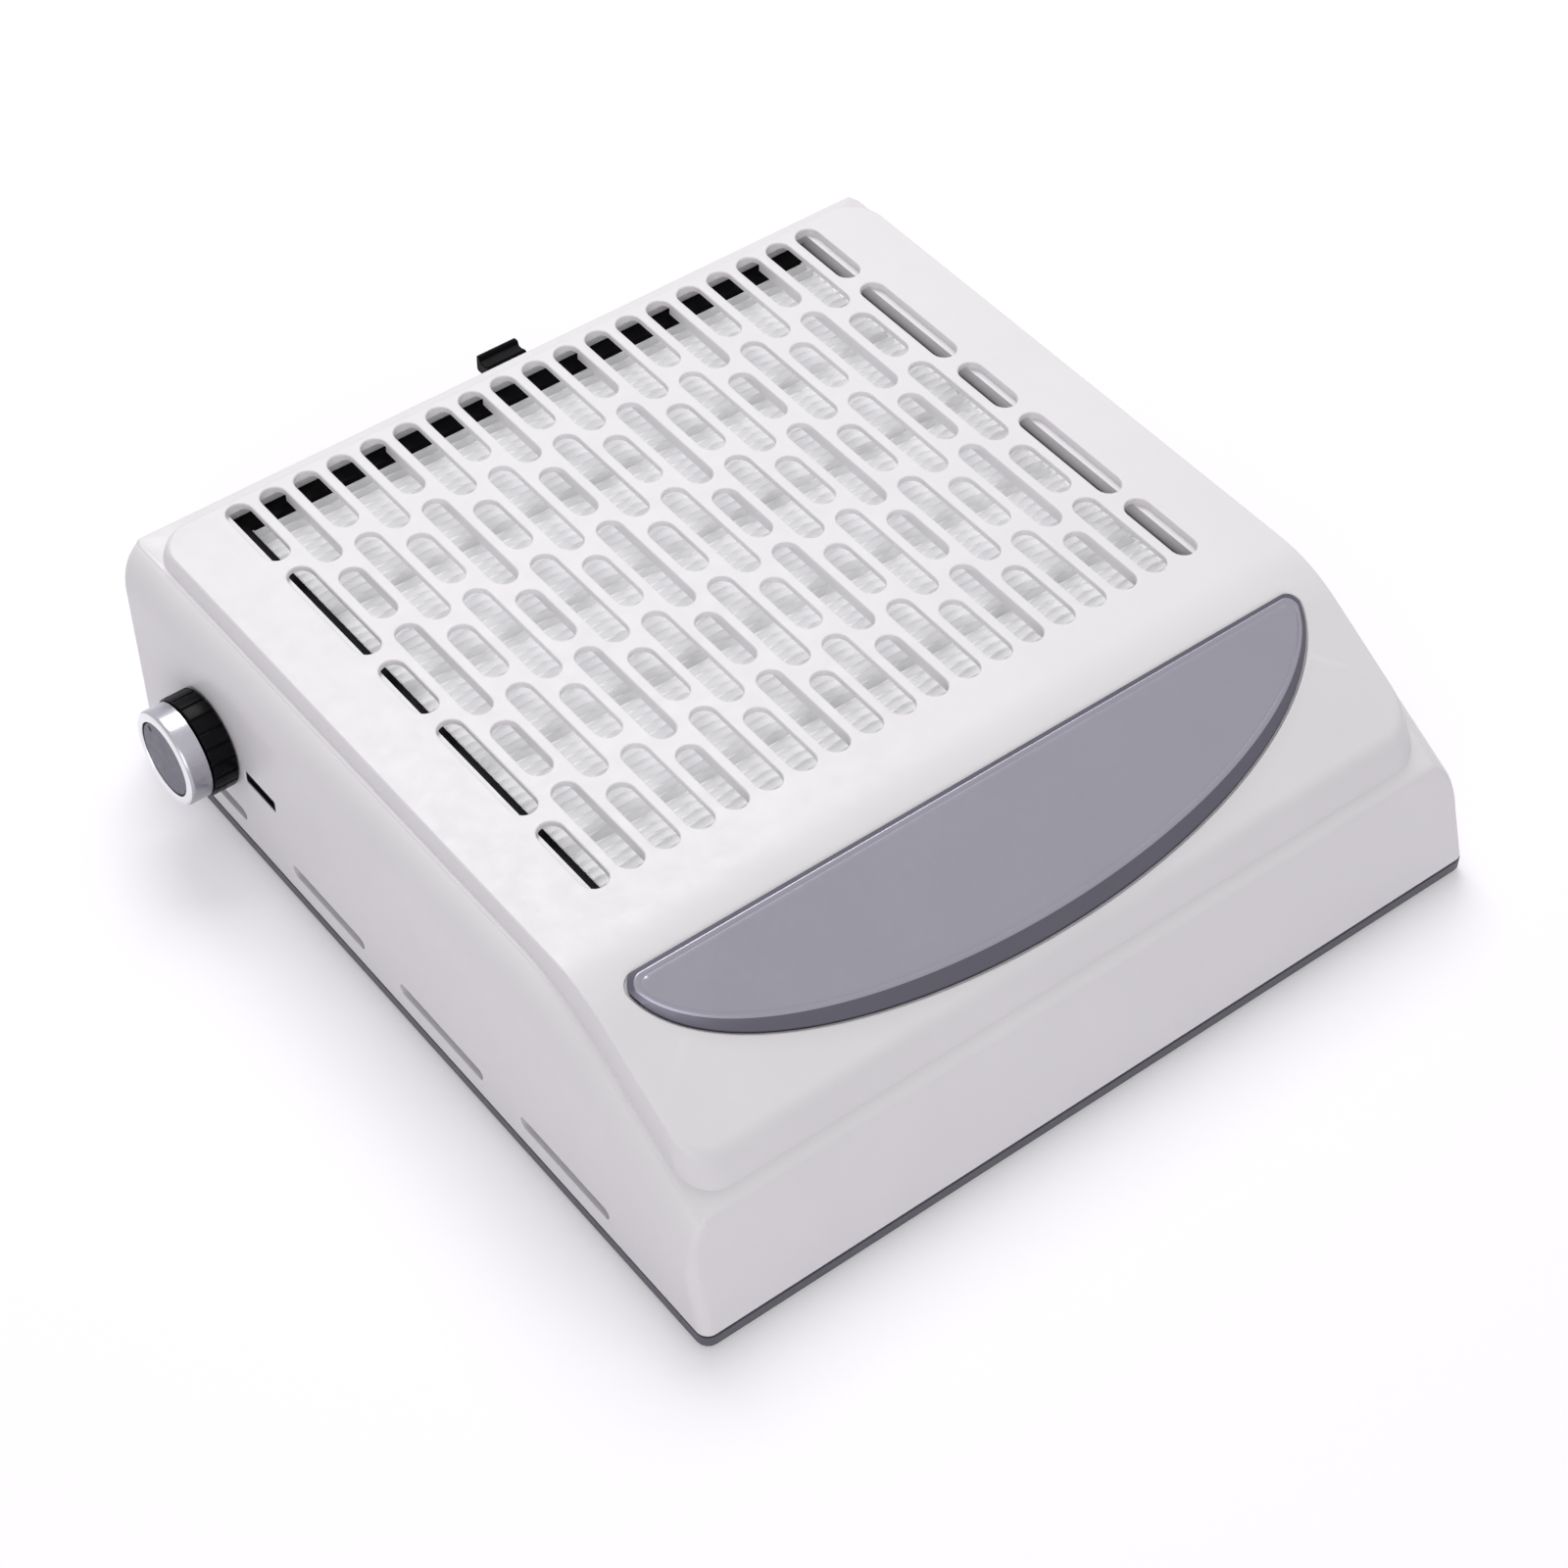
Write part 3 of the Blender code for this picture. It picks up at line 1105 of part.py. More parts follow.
def make_leads(parent, looks):
    """Two motor leads from the connector along the base and up to the motor's end cap."""
    plug_x = board_face() + BOARD_THICK + CLEAR + CONNECTOR_SIZE[0] + CLEAR
    level = BASE_TOP + CLEAR + LEAD_RADIUS + CLEAR
    start_z = BOARD_BOTTOM + CONNECTOR_SIZE[2] / 2
    end_z = MOTOR_BOTTOM + MOTOR_CAP_HEIGHT / 2
    for k, look in enumerate(("lead_red", "lead_black")):
        side = (k - 0.5) * LEAD_PITCH
        start = Vector((plug_x, lead_plug_y() + side, start_z))
        end_x = -math.sqrt((MOTOR_RADIUS + CLEAR) ** 2 - side**2) - CLEAR / 2
        end = Vector((end_x, FAN_Y + side, end_z))
        span = end.x - start.x
        data = bpy.data.curves.new(f"motor_lead_{k + 1}", "CURVE")
        data.dimensions = "3D"
        data.bevel_depth = LEAD_RADIUS
        data.bevel_resolution = LEAD_ROUND_STEPS
        data.use_fill_caps = True
        line = data.splines.new("POLY")
        line.points.add(LEAD_STEPS)
        for i, point in enumerate(line.points):
            t = i / LEAD_STEPS
            glide = t * t * (3 - 2 * t)
            dip = min(1.0, LEAD_DROP * math.sin(math.pi * min(t, 1 - t)))
            straight = start.z + (end.z - start.z) * t
            z = straight + (level - straight) * dip * dip * (3 - 2 * dip)
            point.co = (start.x + span * t, start.y + (end.y - start.y) * glide, z, 1.0)
        lead = bpy.data.objects.new(f"motor_lead_{k + 1}", data)
        data.materials.append(looks[look])
        bpy.context.collection.objects.link(lead)
        lead.parent = parent


def make_looks():
    """Materials by name, their colours read off the object or usual for such pieces."""
    return {
        "shell": material("shell_white", (0.83, 0.82, 0.84), 0.42),
        "base": material("base_grey", (0.16, 0.16, 0.19), 0.5),
        "pad": material("pad_metallic", (0.36, 0.35, 0.42), 0.34, 0.75),
        "filter": material("filter_black", (0.02, 0.02, 0.022), 0.5),
        "media": material("media_white", (0.86, 0.86, 0.86), 0.9),
        "deck": material("deck_white", (0.78, 0.78, 0.79), 0.5),
        "impeller": material("impeller_grey", (0.2, 0.2, 0.21), 0.5),
        "rubber": material("rubber_black", (0.03, 0.03, 0.03), 0.85),
        "screw": material("screw_steel", (0.55, 0.55, 0.56), 0.35, 1.0),
        "steel": material("steel", (0.6, 0.6, 0.61), 0.3, 1.0),
        "black": material("plastic_black", (0.03, 0.03, 0.033), 0.45),
        "brass": material("brass", (0.72, 0.55, 0.25), 0.3, 1.0),
        "board": material("board_green", (0.03, 0.17, 0.07), 0.5),
        "pot": material("potentiometer_blue", (0.05, 0.12, 0.3), 0.5),
        "capacitor": material("capacitor_sleeve", (0.05, 0.05, 0.09), 0.35),
        "connector": material("connector_cream", (0.8, 0.77, 0.68), 0.5),
        "knob_black": material("knob_black", (0.02, 0.02, 0.022), 0.45),
        "knob_face": material("knob_face_grey", (0.22, 0.21, 0.26), 0.35, 0.6),
        "aluminium": material("aluminium", (0.75, 0.75, 0.77), 0.28, 1.0),
        "lead_red": material("lead_red", (0.5, 0.02, 0.02), 0.5),
        "lead_black": material("lead_black", (0.02, 0.02, 0.02), 0.5),
    }


def empty(name, location, rotation=(0.0, 0.0, 0.0), parent=None):
    """Empty that carries pieces at a place."""
    made = bpy.data.objects.new(name, None)
    made.location = location
    made.rotation_euler = rotation
    made.parent = parent
    bpy.context.collection.objects.link(made)
    return made


def main():
    """Builds every piece of the dust collector."""
    for obj in list(bpy.data.objects):
        bpy.data.objects.remove(obj)
    looks = make_looks()
    knob_reach = KNOB_WALL + KNOB_REACH
    shift = ((knob_reach - BODY_HALF_WIDTH) / 2, (-FRONT - TAB_END) / 2, 0.0)
    body = empty("dust_collector", shift)
    fan_axis = empty("fan_axis", (0.0, FAN_Y, 0.0), parent=body)
    knob_axis = empty("knob_axis", (-KNOB_WALL, KNOB_Y, KNOB_HEIGHT), (0.0, -math.pi / 2, 0.0), body)

    make_housing(body, looks["shell"])
    make_base(body, looks["base"])
    make_pad(body, looks["pad"])
    for k, (x, y) in enumerate(foot_places(), 1):
        foot = Shape()
        foot.cylinder((x, y), FOOT_RADIUS, 0.0, FOOT_PROUD + FOOT_RECESS - CLEAR, ROUND_STEPS)
        foot.build(f"rubber_foot_{k}", looks["rubber"], body)
    for k, place in enumerate(corner_places(), 1):
        make_screw(f"base_screw_{k}", place, motor_screw_low(), SCREW_HEAD_RADIUS, body, looks["screw"])
    make_filter_frame(body, looks["filter"])
    make_media(body, looks["media"])
    make_deck(body, looks["deck"])
    deck_head = DECK_BOTTOM - CLEAR - SCREW_HEAD_HEIGHT
    for k, place in enumerate(deck_post_places(), 1):
        make_screw(f"deck_screw_{k}", place, deck_head, DECK_SCREW_HEAD_RADIUS, body, looks["screw"])
    make_motor(body, looks)
    make_rotor(fan_axis, looks)
    make_knob(knob_axis, looks)
    make_potentiometer(knob_axis, looks)
    make_board(body, looks)
    make_leads(body, looks)


main()
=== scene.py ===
"""Nail dust collector: the finished look of every piece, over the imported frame."""
import logging
from collections.abc import Callable, Iterable, Sequence
from dataclasses import dataclass, field
from enum import Enum
from math import asin, cos, pi, radians, sin, sqrt, tan

import bmesh
import bpy
from mathutils import Euler, Matrix, Vector


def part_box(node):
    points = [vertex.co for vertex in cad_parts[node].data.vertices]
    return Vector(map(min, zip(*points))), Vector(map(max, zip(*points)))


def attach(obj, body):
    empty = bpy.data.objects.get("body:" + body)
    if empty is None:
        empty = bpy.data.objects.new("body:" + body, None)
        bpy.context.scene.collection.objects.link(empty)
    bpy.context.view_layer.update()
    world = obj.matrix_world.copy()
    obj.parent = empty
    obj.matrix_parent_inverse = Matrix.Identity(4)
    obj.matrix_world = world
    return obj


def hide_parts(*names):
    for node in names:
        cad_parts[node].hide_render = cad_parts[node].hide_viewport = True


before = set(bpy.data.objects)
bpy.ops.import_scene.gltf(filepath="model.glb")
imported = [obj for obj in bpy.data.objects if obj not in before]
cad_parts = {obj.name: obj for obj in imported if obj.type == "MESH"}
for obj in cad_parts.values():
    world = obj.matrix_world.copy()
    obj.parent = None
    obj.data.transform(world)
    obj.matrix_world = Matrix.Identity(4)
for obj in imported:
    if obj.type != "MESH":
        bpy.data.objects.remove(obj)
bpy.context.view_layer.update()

LOG = logging.getLogger("dust_collector")
MM = 0.001
CLEAR = 0.3
OVER = 0.6
CORNER_STEPS = 14
QUARTER = [k * pi / 2 / CORNER_STEPS for k in range(CORNER_STEPS + 1)]
BASE_LOW, BASE_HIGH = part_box("base_plate")
SHIFT = Vector(((BASE_LOW[0] + BASE_HIGH[0]) / 2, (BASE_LOW[1] + BASE_HIGH[1]) / 2, 0.0))
BODY_PLACE = Matrix.Translation(SHIFT) @ Matrix.Scale(MM, 4)

Flat = tuple[float, float]
Point = tuple[float, float, float]
Color = tuple[float, float, float]
Look = bpy.types.Material
Piece = bpy.types.Object
Socket = bpy.types.NodeSocket


class Cap(Enum):
    """How a loft is closed at its two ends."""

    FLAT = "flat"
    STRIPS = "strips"
    WRAP = "wrap"


class Join(Enum):
    """What a tool does to the piece that it is applied to."""

    ADD = "UNION"
    CUT = "DIFFERENCE"


class Axis(Enum):
    """Axis that an outline is carried along: which of its two values and its level come first."""

    X = (2, 0, 1)
    Z = (0, 1, 2)


class Lay(Enum):
    """Direction of the fine lines on a metal."""

    NONE = "none"
    TURNED = "turned"


def soft_max(first: float, second: float, reach: float) -> float:
    """Larger of two values, rounded where they differ by less than a reach."""
    near = max(reach - abs(first - second), 0.0) / reach
    return max(first, second) + near * near * reach / 4


def circle(centre: Flat, radius: float, steps: int) -> list[Flat]:
    """Points of a circle, counterclockwise."""
    turns = (2 * pi * k / steps for k in range(steps))
    return [(centre[0] + radius * cos(a), centre[1] + radius * sin(a)) for a in turns]


def slot_outline(length: float, width: float, steps: int) -> list[Flat]:
    """Outline of a slot with round ends about the origin, its length along the second axis.

    Args:
        length: Whole length in millimetres.
        width: Whole width.
        steps: Steps round each end.

    Returns:
        The points, counterclockwise.
    """
    radius, points = width / 2, []
    for end, turn in ((1, 0), (-1, pi)):
        for a in (pi * k / steps + turn for k in range(steps + 1)):
            points.append((radius * cos(a), end * (length / 2 - radius) + radius * sin(a)))
    return points


def bar_outline(length: float, width: float, radius: float, steps: int = 4) -> list[Flat]:
    """Outline of a bar with small round corners about the origin, its length along the second axis.

    Args:
        length: Whole length in millimetres.
        width: Whole width.
        radius: Corner radius.
        steps: Steps round a corner.

    Returns:
        The points, counterclockwise.
    """
    points = []
    for k, (across, along) in enumerate(((1, 1), (-1, 1), (-1, -1), (1, -1))):
        x, y = across * (width / 2 - radius), along * (length / 2 - radius)
        for a in (pi / 2 * (k + j / steps) for j in range(steps + 1)):
            points.append((x + radius * cos(a), y + radius * sin(a)))
    return points


def lip_profile(radius: float, depth: float, steps: int = 5) -> list[Flat]:
    """Offsets and heights of a cutter that leaves a rounded lip where it enters a surface."""
    turns = (pi / 2 * k / steps for k in range(steps + 1))
    return [(0.0, -depth), *((radius * (1 - cos(a)), radius * (sin(a) - 1)) for a in turns), (radius, 0.01)]


def mirrored(half: Sequence[Point]) -> list[Point]:
    """Ring of a right half and its mirror image."""
    return [*half, *((-x, y, z) for x, y, z in reversed(half))]


def add_object(name: str, data: bpy.types.ID) -> Piece:
    """Object with the data, at the origin.

    Args:
        name: Its name.
        data: Mesh, lamp or camera.

    Returns:
        The object.
    """
    made = bpy.data.objects.new(name, data)
    bpy.context.collection.objects.link(made)
    return made


def discard(piece: Piece) -> None:
    """Removes an object and its mesh."""
    data = piece.data
    bpy.data.objects.remove(piece)
    bpy.data.meshes.remove(data)


class Form:
    """Closed bodies gathered in one mesh, in millimetres of the body's own frame."""

    def __init__(self) -> None:
        """Starts with an empty mesh."""
        self.mesh = bmesh.new()

    def loft(self, rings: Sequence[Sequence[Point]], cap: Cap = Cap.FLAT) -> "Form":
        """Adds a body through rings that have as many points each.

        Args:
            rings: The rings in order.
            cap: How the two ends are closed.

        Returns:
            The form itself.
        """
        made = [[self.mesh.verts.new(point) for point in ring] for ring in rings]
        add = self.mesh.faces.new
        for lower, upper in zip(made, made[1:] + (made[:1] if cap is Cap.WRAP else [])):
            for k in range(len(lower)):
                n = (k + 1) % len(lower)
                add((lower[k], lower[n], upper[n], upper[k]))
        if cap is Cap.FLAT:
            add(list(reversed(made[0])))
            add(made[-1])
        if cap is Cap.STRIPS:
            for ring, turn in ((made[0], -1), (made[-1], 1)):
                for k in range(len(ring) // 2 - 1):
                    add([ring[k], ring[k + 1], ring[-2 - k], ring[-1 - k]][::turn])
        return self

    def prism(self, outline: Iterable[Flat], low: float, high: float, along: Axis = Axis.Z) -> "Form":
        """Adds an outline in the plane across an axis, carried along it from low to high."""
        points = list(outline)
        return self.loft([[tuple((u, v, w)[k] for k in along.value) for u, v in points] for w in (low, high)])

    def box(self, low: Point, high: Point) -> "Form":
        """Adds a box between two corners."""
        (x, y, z), (u, v, w) = low, high
        return self.prism([(x, y), (u, y), (u, v), (x, v)], z, w)

    def lathe(self, profile: Iterable[Flat], steps: int, centre: Flat = (0.0, 0.0), cap: Cap = Cap.WRAP) -> "Form":
        """Adds pairs of radius and height turned about an upright line."""
        return self.loft([[(x, y, z) for x, y in circle(centre, r, steps)] for r, z in profile], cap)

    def mark(self, first: int, last: int) -> "Form":
        """Gives the faces from one count up to another the second material.

        Args:
            first: Count of the first face.
            last: Count of the first one that stays.

        Returns:
            The form itself.
        """
        self.mesh.faces.ensure_lookup_table()
        for face in self.mesh.faces[first:last]:
            face.material_index = 1
        return self

    def include(self, data: bpy.types.Mesh) -> "Form":
        """Adds a finished mesh, which is removed.

        Args:
            data: The mesh.

        Returns:
            The form itself.
        """
        self.mesh.from_mesh(data)
        bpy.data.meshes.remove(data)
        return self

    def carry(self, place: Matrix) -> "Form":
        """Moves all that the form holds."""
        bmesh.ops.transform(self.mesh, matrix=place, verts=self.mesh.verts)
        return self

    def make(self, name: str, *looks: Look, place: Matrix = BODY_PLACE) -> Piece:
        """Turns the form into an object at the origin, its place in its mesh.

        Args:
            name: Name of the object.
            *looks: Its materials.
            place: From the form's frame to the world.

        Returns:
            The object.
        """
        self.carry(place)
        bmesh.ops.recalc_face_normals(self.mesh, faces=self.mesh.faces)
        data = bpy.data.meshes.new(name)
        self.mesh.to_mesh(data)
        self.mesh.free()
        for look in looks:
            data.materials.append(look)
        return add_object(name, data)


def settle(piece: Piece) -> Piece:
    """Applies the modifiers of a piece to its mesh.

    Args:
        piece: Object with modifiers.

    Returns:
        The same object, with none.
    """
    bpy.context.view_layer.update()
    graph = bpy.context.evaluated_depsgraph_get()
    shape = piece.evaluated_get(graph)
    data = bpy.data.meshes.new_from_object(shape, preserve_all_data_layers=True, depsgraph=graph)
    old = piece.data
    if not data.materials:
        for look in old.materials:
            data.materials.append(look)
    piece.modifiers.clear()
    piece.data = data
    bpy.data.meshes.remove(old)
    return piece


def combine(target: Piece, tool: Form, join: Join) -> None:
    """Joins a form to a piece or cuts it out, and applies the result.

    Args:
        target: Piece that changes.
        tool: Form that is added or cut away.
        join: Which of the two.
    """
    modifier = target.modifiers.new("join", "BOOLEAN")
    modifier.operation, modifier.solver = join.value, "EXACT"
    modifier.object = tool.make(f"{target.name}_tool", target.data.materials[0])
    operand = modifier.object
    settle(target)
    discard(operand)


def smooth(piece: Piece, sharp: float = 34.0, weighted: bool = True) -> Piece:
    """Shades a piece smooth up to an angle.

    Args:
        piece: Object to shade.
        sharp: Angle in degrees past which an edge stays sharp.
        weighted: Whether large faces lead the shading.

    Returns:
        The same object.
    """
    piece.data.shade_smooth()
    piece.data.set_sharp_from_angle(angle=radians(sharp))
    if weighted:
        modifier = piece.modifiers.new("shading", "WEIGHTED_NORMAL")
        modifier.keep_sharp, modifier.weight = True, 90
        settle(piece)
    return piece


def dress(piece: Piece, body: str, node: str = "") -> Piece:
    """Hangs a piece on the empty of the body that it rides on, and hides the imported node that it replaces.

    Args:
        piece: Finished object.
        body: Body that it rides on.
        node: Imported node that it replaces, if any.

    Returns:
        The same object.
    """
    if node:
        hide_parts(node)
    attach(piece, body)
    return piece


class Graph:
    """Nodes of one tree, added and joined in short calls."""

    def __init__(self, tree: bpy.types.NodeTree) -> None:
        """Takes the tree that the nodes go into."""
        self.tree = tree

    def feed(self, node: bpy.types.Node, *feeds: object, **values: object) -> bpy.types.Node:
        """Sets a node.

        Args:
            node: The node.
            *feeds: For its first inputs in turn, a value or the socket that each is joined to.
            **values: The same for inputs by name, spaces as underscores, or the node's own settings.

        Returns:
            The node.
        """
        for name, value in [*enumerate(feeds), *values.items()]:
            socket = node.inputs[name] if isinstance(name, int) else node.inputs.get(name.replace("_", " "))
            if isinstance(value, Socket):
                self.tree.links.new(value, socket)
            elif socket is not None:
                socket.default_value = value
            else:
                setattr(node, name, value)
        return node

    def add(self, kind: str, *feeds: object, **values: object) -> bpy.types.Node:
        """Adds a node and sets it; the type of a shader's node goes without its prefix."""
        return self.feed(self.tree.nodes.new(kind if "Node" in kind else f"ShaderNode{kind}"), *feeds, **values)


@dataclass
class Repeat:
    """Row or ring of one shape, made by a node tree."""

    count: int
    start: Point = (0.0, 0.0, 0.0)
    step: Point = (0.0, 0.0, 0.0)
    turn: Point = (0.0, 0.0, 0.0)
    weld: float = 0.0

    TREE_NAME = "repeat_shape"
    GIVEN = {"Shape": "Object", "Count": "Int", "Start": "Vector", "Step": "Vector", "Turn": "Vector"}
    GIVEN |= {"Weld": "Float", "Material": "Material"}

    def tree(self) -> bpy.types.NodeTree:
        """Node tree that sets copies of a shape along a line and turns each one further.

        Returns:
            The tree, made on first use.
        """
        known = bpy.data.node_groups.get(self.TREE_NAME)
        if known:
            return known
        tree = bpy.data.node_groups.new(self.TREE_NAME, "GeometryNodeTree")
        tree.interface.new_socket("Geometry", in_out="OUTPUT", socket_type="NodeSocketGeometry")
        for name, kind in self.GIVEN.items():
            tree.interface.new_socket(name, in_out="INPUT", socket_type=f"NodeSocket{kind}")
        add = Graph(tree).add
        given = add("NodeGroupInput").outputs
        spread = {"Count": given["Count"], "Start_Location": given["Start"], "Offset": given["Step"]}
        line = add("GeometryNodeMeshLine", mode="OFFSET", **spread).outputs["Mesh"]
        shape = add("GeometryNodeObjectInfo", Object=given["Shape"]).outputs["Geometry"]
        index = add("GeometryNodeInputIndex").outputs["Index"]
        turn = add("VectorMath", given["Turn"], operation="SCALE", Scale=index).outputs["Vector"]
        row = add("GeometryNodeInstanceOnPoints", Points=line, Instance=shape, Rotation=turn).outputs["Instances"]
        real = add("GeometryNodeRealizeInstances", Geometry=row).outputs["Geometry"]
        weld = add("GeometryNodeMergeByDistance", Geometry=real, Distance=given["Weld"]).outputs["Geometry"]
        dressed = add("GeometryNodeSetMaterial", Geometry=weld, Material=given["Material"]).outputs["Geometry"]
        add("NodeGroupOutput", Geometry=dressed)
        return tree

    def of(self, shape: Form, look: Look) -> bpy.types.Mesh:
        """Mesh of the whole row.

        Args:
            shape: One copy, in its own frame.
            look: Material of the copies.

        Returns:
            The mesh, in the shape's units.
        """
        pattern = shape.make("pattern", look, place=Matrix.Identity(4))
        host = add_object("row", bpy.data.meshes.new("row"))
        modifier = host.modifiers.new("row", "NODES")
        modifier.node_group = self.tree()
        values = (pattern, self.count, self.start, self.step, self.turn, self.weld, look)
        named = dict(zip(self.GIVEN, values))
        for item in modifier.node_group.interface.items_tree:
            if item.in_out == "INPUT":
                modifier[item.identifier] = named[item.name]
        data = settle(host).data
        bpy.data.objects.remove(host)
        discard(pattern)
        return data


class Wiring(Graph):
    """Nodes of one material."""

    def __init__(self, name: str) -> None:
        """Starts a material with only its output and shader."""
        self.material = bpy.data.materials.new(name)
        self.material.use_nodes = True
        super().__init__(self.material.node_tree)
        self.shader = self.tree.nodes["Principled BSDF"]

    def shader_set(self, **values: object) -> None:
        """Sets or joins the shader's inputs."""
        self.feed(self.shader, **values)

    def coordinates(self, centre: Point = (0.0, 0.0, 0.0), scale: Point = (1.0, 1.0, 1.0)) -> Socket:
        """Object coordinates about a world point, stretched by a scale."""
        values = {"Location": tuple(-c * s for c, s in zip(centre, scale)), "Scale": scale}
        return self.add("Mapping", self.add("TexCoord").outputs["Object"], **values).outputs["Vector"]

    def noise(self, where: Socket, scale: float, detail: float = 3.0) -> Socket:
        """Value of a cloud pattern, by its clouds in a metre and its finer layers."""
        return self.add("TexNoise", Vector=where, Scale=scale, Detail=detail).outputs["Fac"]

    def between(self, value: Socket, low: float, high: float) -> Socket:
        """Pattern about one half, spread from a low to a high end."""
        spread = self.add("MapRange", Value=value, From_Min=0.3, From_Max=0.7, To_Min=low, To_Max=high)
        return spread.outputs["Result"]

    def gloss(self, pattern: Socket, middle: float, spread: float) -> None:
        """Roughness that a pattern changes about a middle value."""
        self.shader_set(Roughness=self.between(pattern, middle - spread, middle + spread))

    def mix(self, factor: Socket, first: Color, second: Color) -> Socket:
        """Colour between two, by a pattern.

        Args:
            factor: Pattern from nought to one.
            first: Colour at nought.
            second: Colour at one.

        Returns:
            The colour socket.
        """
        ramp = self.add("ValToRGB", Fac=factor)
        for element, color, place in zip(ramp.color_ramp.elements, (first, second), (0.25, 0.75)):
            element.color = (*color, 1.0)
            element.position = place
        return ramp.outputs["Color"]

    def bump(self, height: Socket, depth: float, strength: float = 1.0) -> None:
        """Lets a pattern raise the surface by a depth in metres, over the bumps before it."""
        values = {"Normal": link.from_socket for link in self.shader.inputs["Normal"].links}
        values |= {"Height": height, "Distance": depth, "Strength": strength}
        self.shader_set(Normal=self.add("Bump", **values).outputs["Normal"])

    def shade(self, color: Color, spread: float, clouds: Socket) -> None:
        """Sets the base colour, which a pattern of clouds changes by a share."""
        ends = (tuple(min(c * share, 1.0) for c in color) for share in (1 - spread, 1 + spread))
        self.shader_set(Base_Color=self.mix(clouds, *ends))


@dataclass(frozen=True)
class Plastic:
    """Moulded plastic with a fine eroded grain, faint clouding and uneven gloss."""

    name: str
    color: Color
    roughness: float = 0.42
    gloss_spread: float = 0.05
    clouding: float = 0.015
    grain: float = 2600.0
    grain_depth: float = 0.00001
    specular: float = 0.5
    glow: float = 0.0

    def make(self) -> Look:
        """Builds the material."""
        wiring = Wiring(self.name)
        where = wiring.coordinates()
        wiring.shade(self.color, self.clouding, wiring.noise(where, 38.0, 4.0))
        wiring.gloss(wiring.noise(where, 240.0), self.roughness, self.gloss_spread)
        wiring.shader_set(Specular_IOR_Level=self.specular)
        if self.glow:
            wiring.shader_set(Subsurface_Weight=self.glow, Subsurface_Radius=(1.0, 0.9, 0.85), Subsurface_Scale=0.0012)
        wiring.bump(wiring.noise(where, self.grain, 2.0), self.grain_depth)
        wiring.bump(wiring.noise(where, 120.0, 1.0), self.grain_depth * 3, 0.4)
        return wiring.material


@dataclass(frozen=True)
class Metal:
    """Metal with a satin grain or with turned lines."""

    name: str
    color: Color
    roughness: float = 0.3
    gloss_spread: float = 0.05
    lay: Lay = Lay.NONE
    centre: Point = (0.0, 0.0, 0.0)
    pitch: float = 0.00018
    depth: float = 0.000004
    metallic: float = 1.0
    tint: float = 0.02

    def make(self) -> Look:
        """Builds the material."""
        wiring = Wiring(self.name)
        where = wiring.coordinates(self.centre)
        wiring.shade(self.color, self.tint, wiring.noise(where, 55.0, 4.0))
        wiring.gloss(wiring.noise(where, 420.0), self.roughness, self.gloss_spread)
        wiring.shader_set(Metallic=self.metallic)
        if self.lay is Lay.TURNED:
            flat = wiring.add("VectorMath", where, (0.0, 1.0, 1.0), operation="MULTIPLY").outputs["Vector"]
            reach = wiring.add("VectorMath", flat, operation="LENGTH").outputs["Value"]
            lines = wiring.add("TexNoise", noise_dimensions="1D", W=reach, Scale=1 / self.pitch, Detail=3.0)
            wiring.bump(lines.outputs["Fac"], self.depth)
        else:
            wiring.bump(wiring.noise(where, 1 / self.pitch, 2.0), self.depth)
        return wiring.material


@dataclass(frozen=True)
class Paper:
    """Filter paper: matt fibres, an emission that brightens it as painted light, and painted shade in grey bands
    across it and towards its rear end.
    """

    name: str
    color: Color
    line_place: float
    rear_place: float
    # Strength of an emission that brightens the paper: painted light.
    glow: float = 0.17
    line_pitch: float = 0.0325
    line_painted_shade: float = 0.62
    # Reach and share of the painted shade towards the paper's rear end.
    rear_fade_reach: float = 0.011
    rear_painted_shade: float = 0.1

    def tone(self, share: float = 1.0) -> tuple[float, ...]:
        """Share of its colour, opaque."""
        return (*(c * share for c in self.color), 1.0)

    def make(self) -> Look:
        """Builds the material."""
        wiring = Wiring(self.name)
        fibres = wiring.coordinates(scale=(0.35, 1.0, 1.0))
        wiring.shade(self.color, 0.04, wiring.noise(fibres, 900.0, 5.0))
        clean = wiring.shader.inputs["Base Color"].links[0].from_socket
        # Painted shade: soft grey bands across the paper at a fixed pitch, broken into patches.
        along = wiring.add("SeparateXYZ", wiring.coordinates((0.0, self.line_place, 0.0))).outputs["Y"]
        away = wiring.add("Math", along, self.line_pitch / 2, operation="PINGPONG").outputs[0]
        near = wiring.add("MapRange", Value=away, From_Min=0.0004, From_Max=0.0042, To_Min=1.0, To_Max=0.0)
        patches = wiring.between(wiring.noise(wiring.coordinates(), 70.0), 0.35, 1.0)
        shade_lines = wiring.add("Math", near.outputs["Result"], patches, operation="MULTIPLY").outputs[0]
        shade_banded = wiring.add("MixRGB", shade_lines, clean, self.tone(self.line_painted_shade)).outputs["Color"]
        # Painted shade: the paper darkens smoothly over a short reach towards its rear end.
        end = self.rear_place - self.line_place
        rear = wiring.add("MapRange", along, end - self.rear_fade_reach, end, interpolation_type="SMOOTHSTEP")
        painted_shade_color = wiring.add("MixRGB", rear.outputs["Result"], shade_banded, self.tone(self.rear_painted_shade))
        wiring.shader_set(Base_Color=painted_shade_color.outputs["Color"], Roughness=0.92, Sheen_Weight=0.15)
        # Painted light: the paper glows by an emission in its own colour.
        wiring.shader_set(Emission_Color=self.tone(), Emission_Strength=self.glow)
        wiring.bump(wiring.noise(fibres, 1800.0, 4.0), 0.00004, 0.8)
        return wiring.material


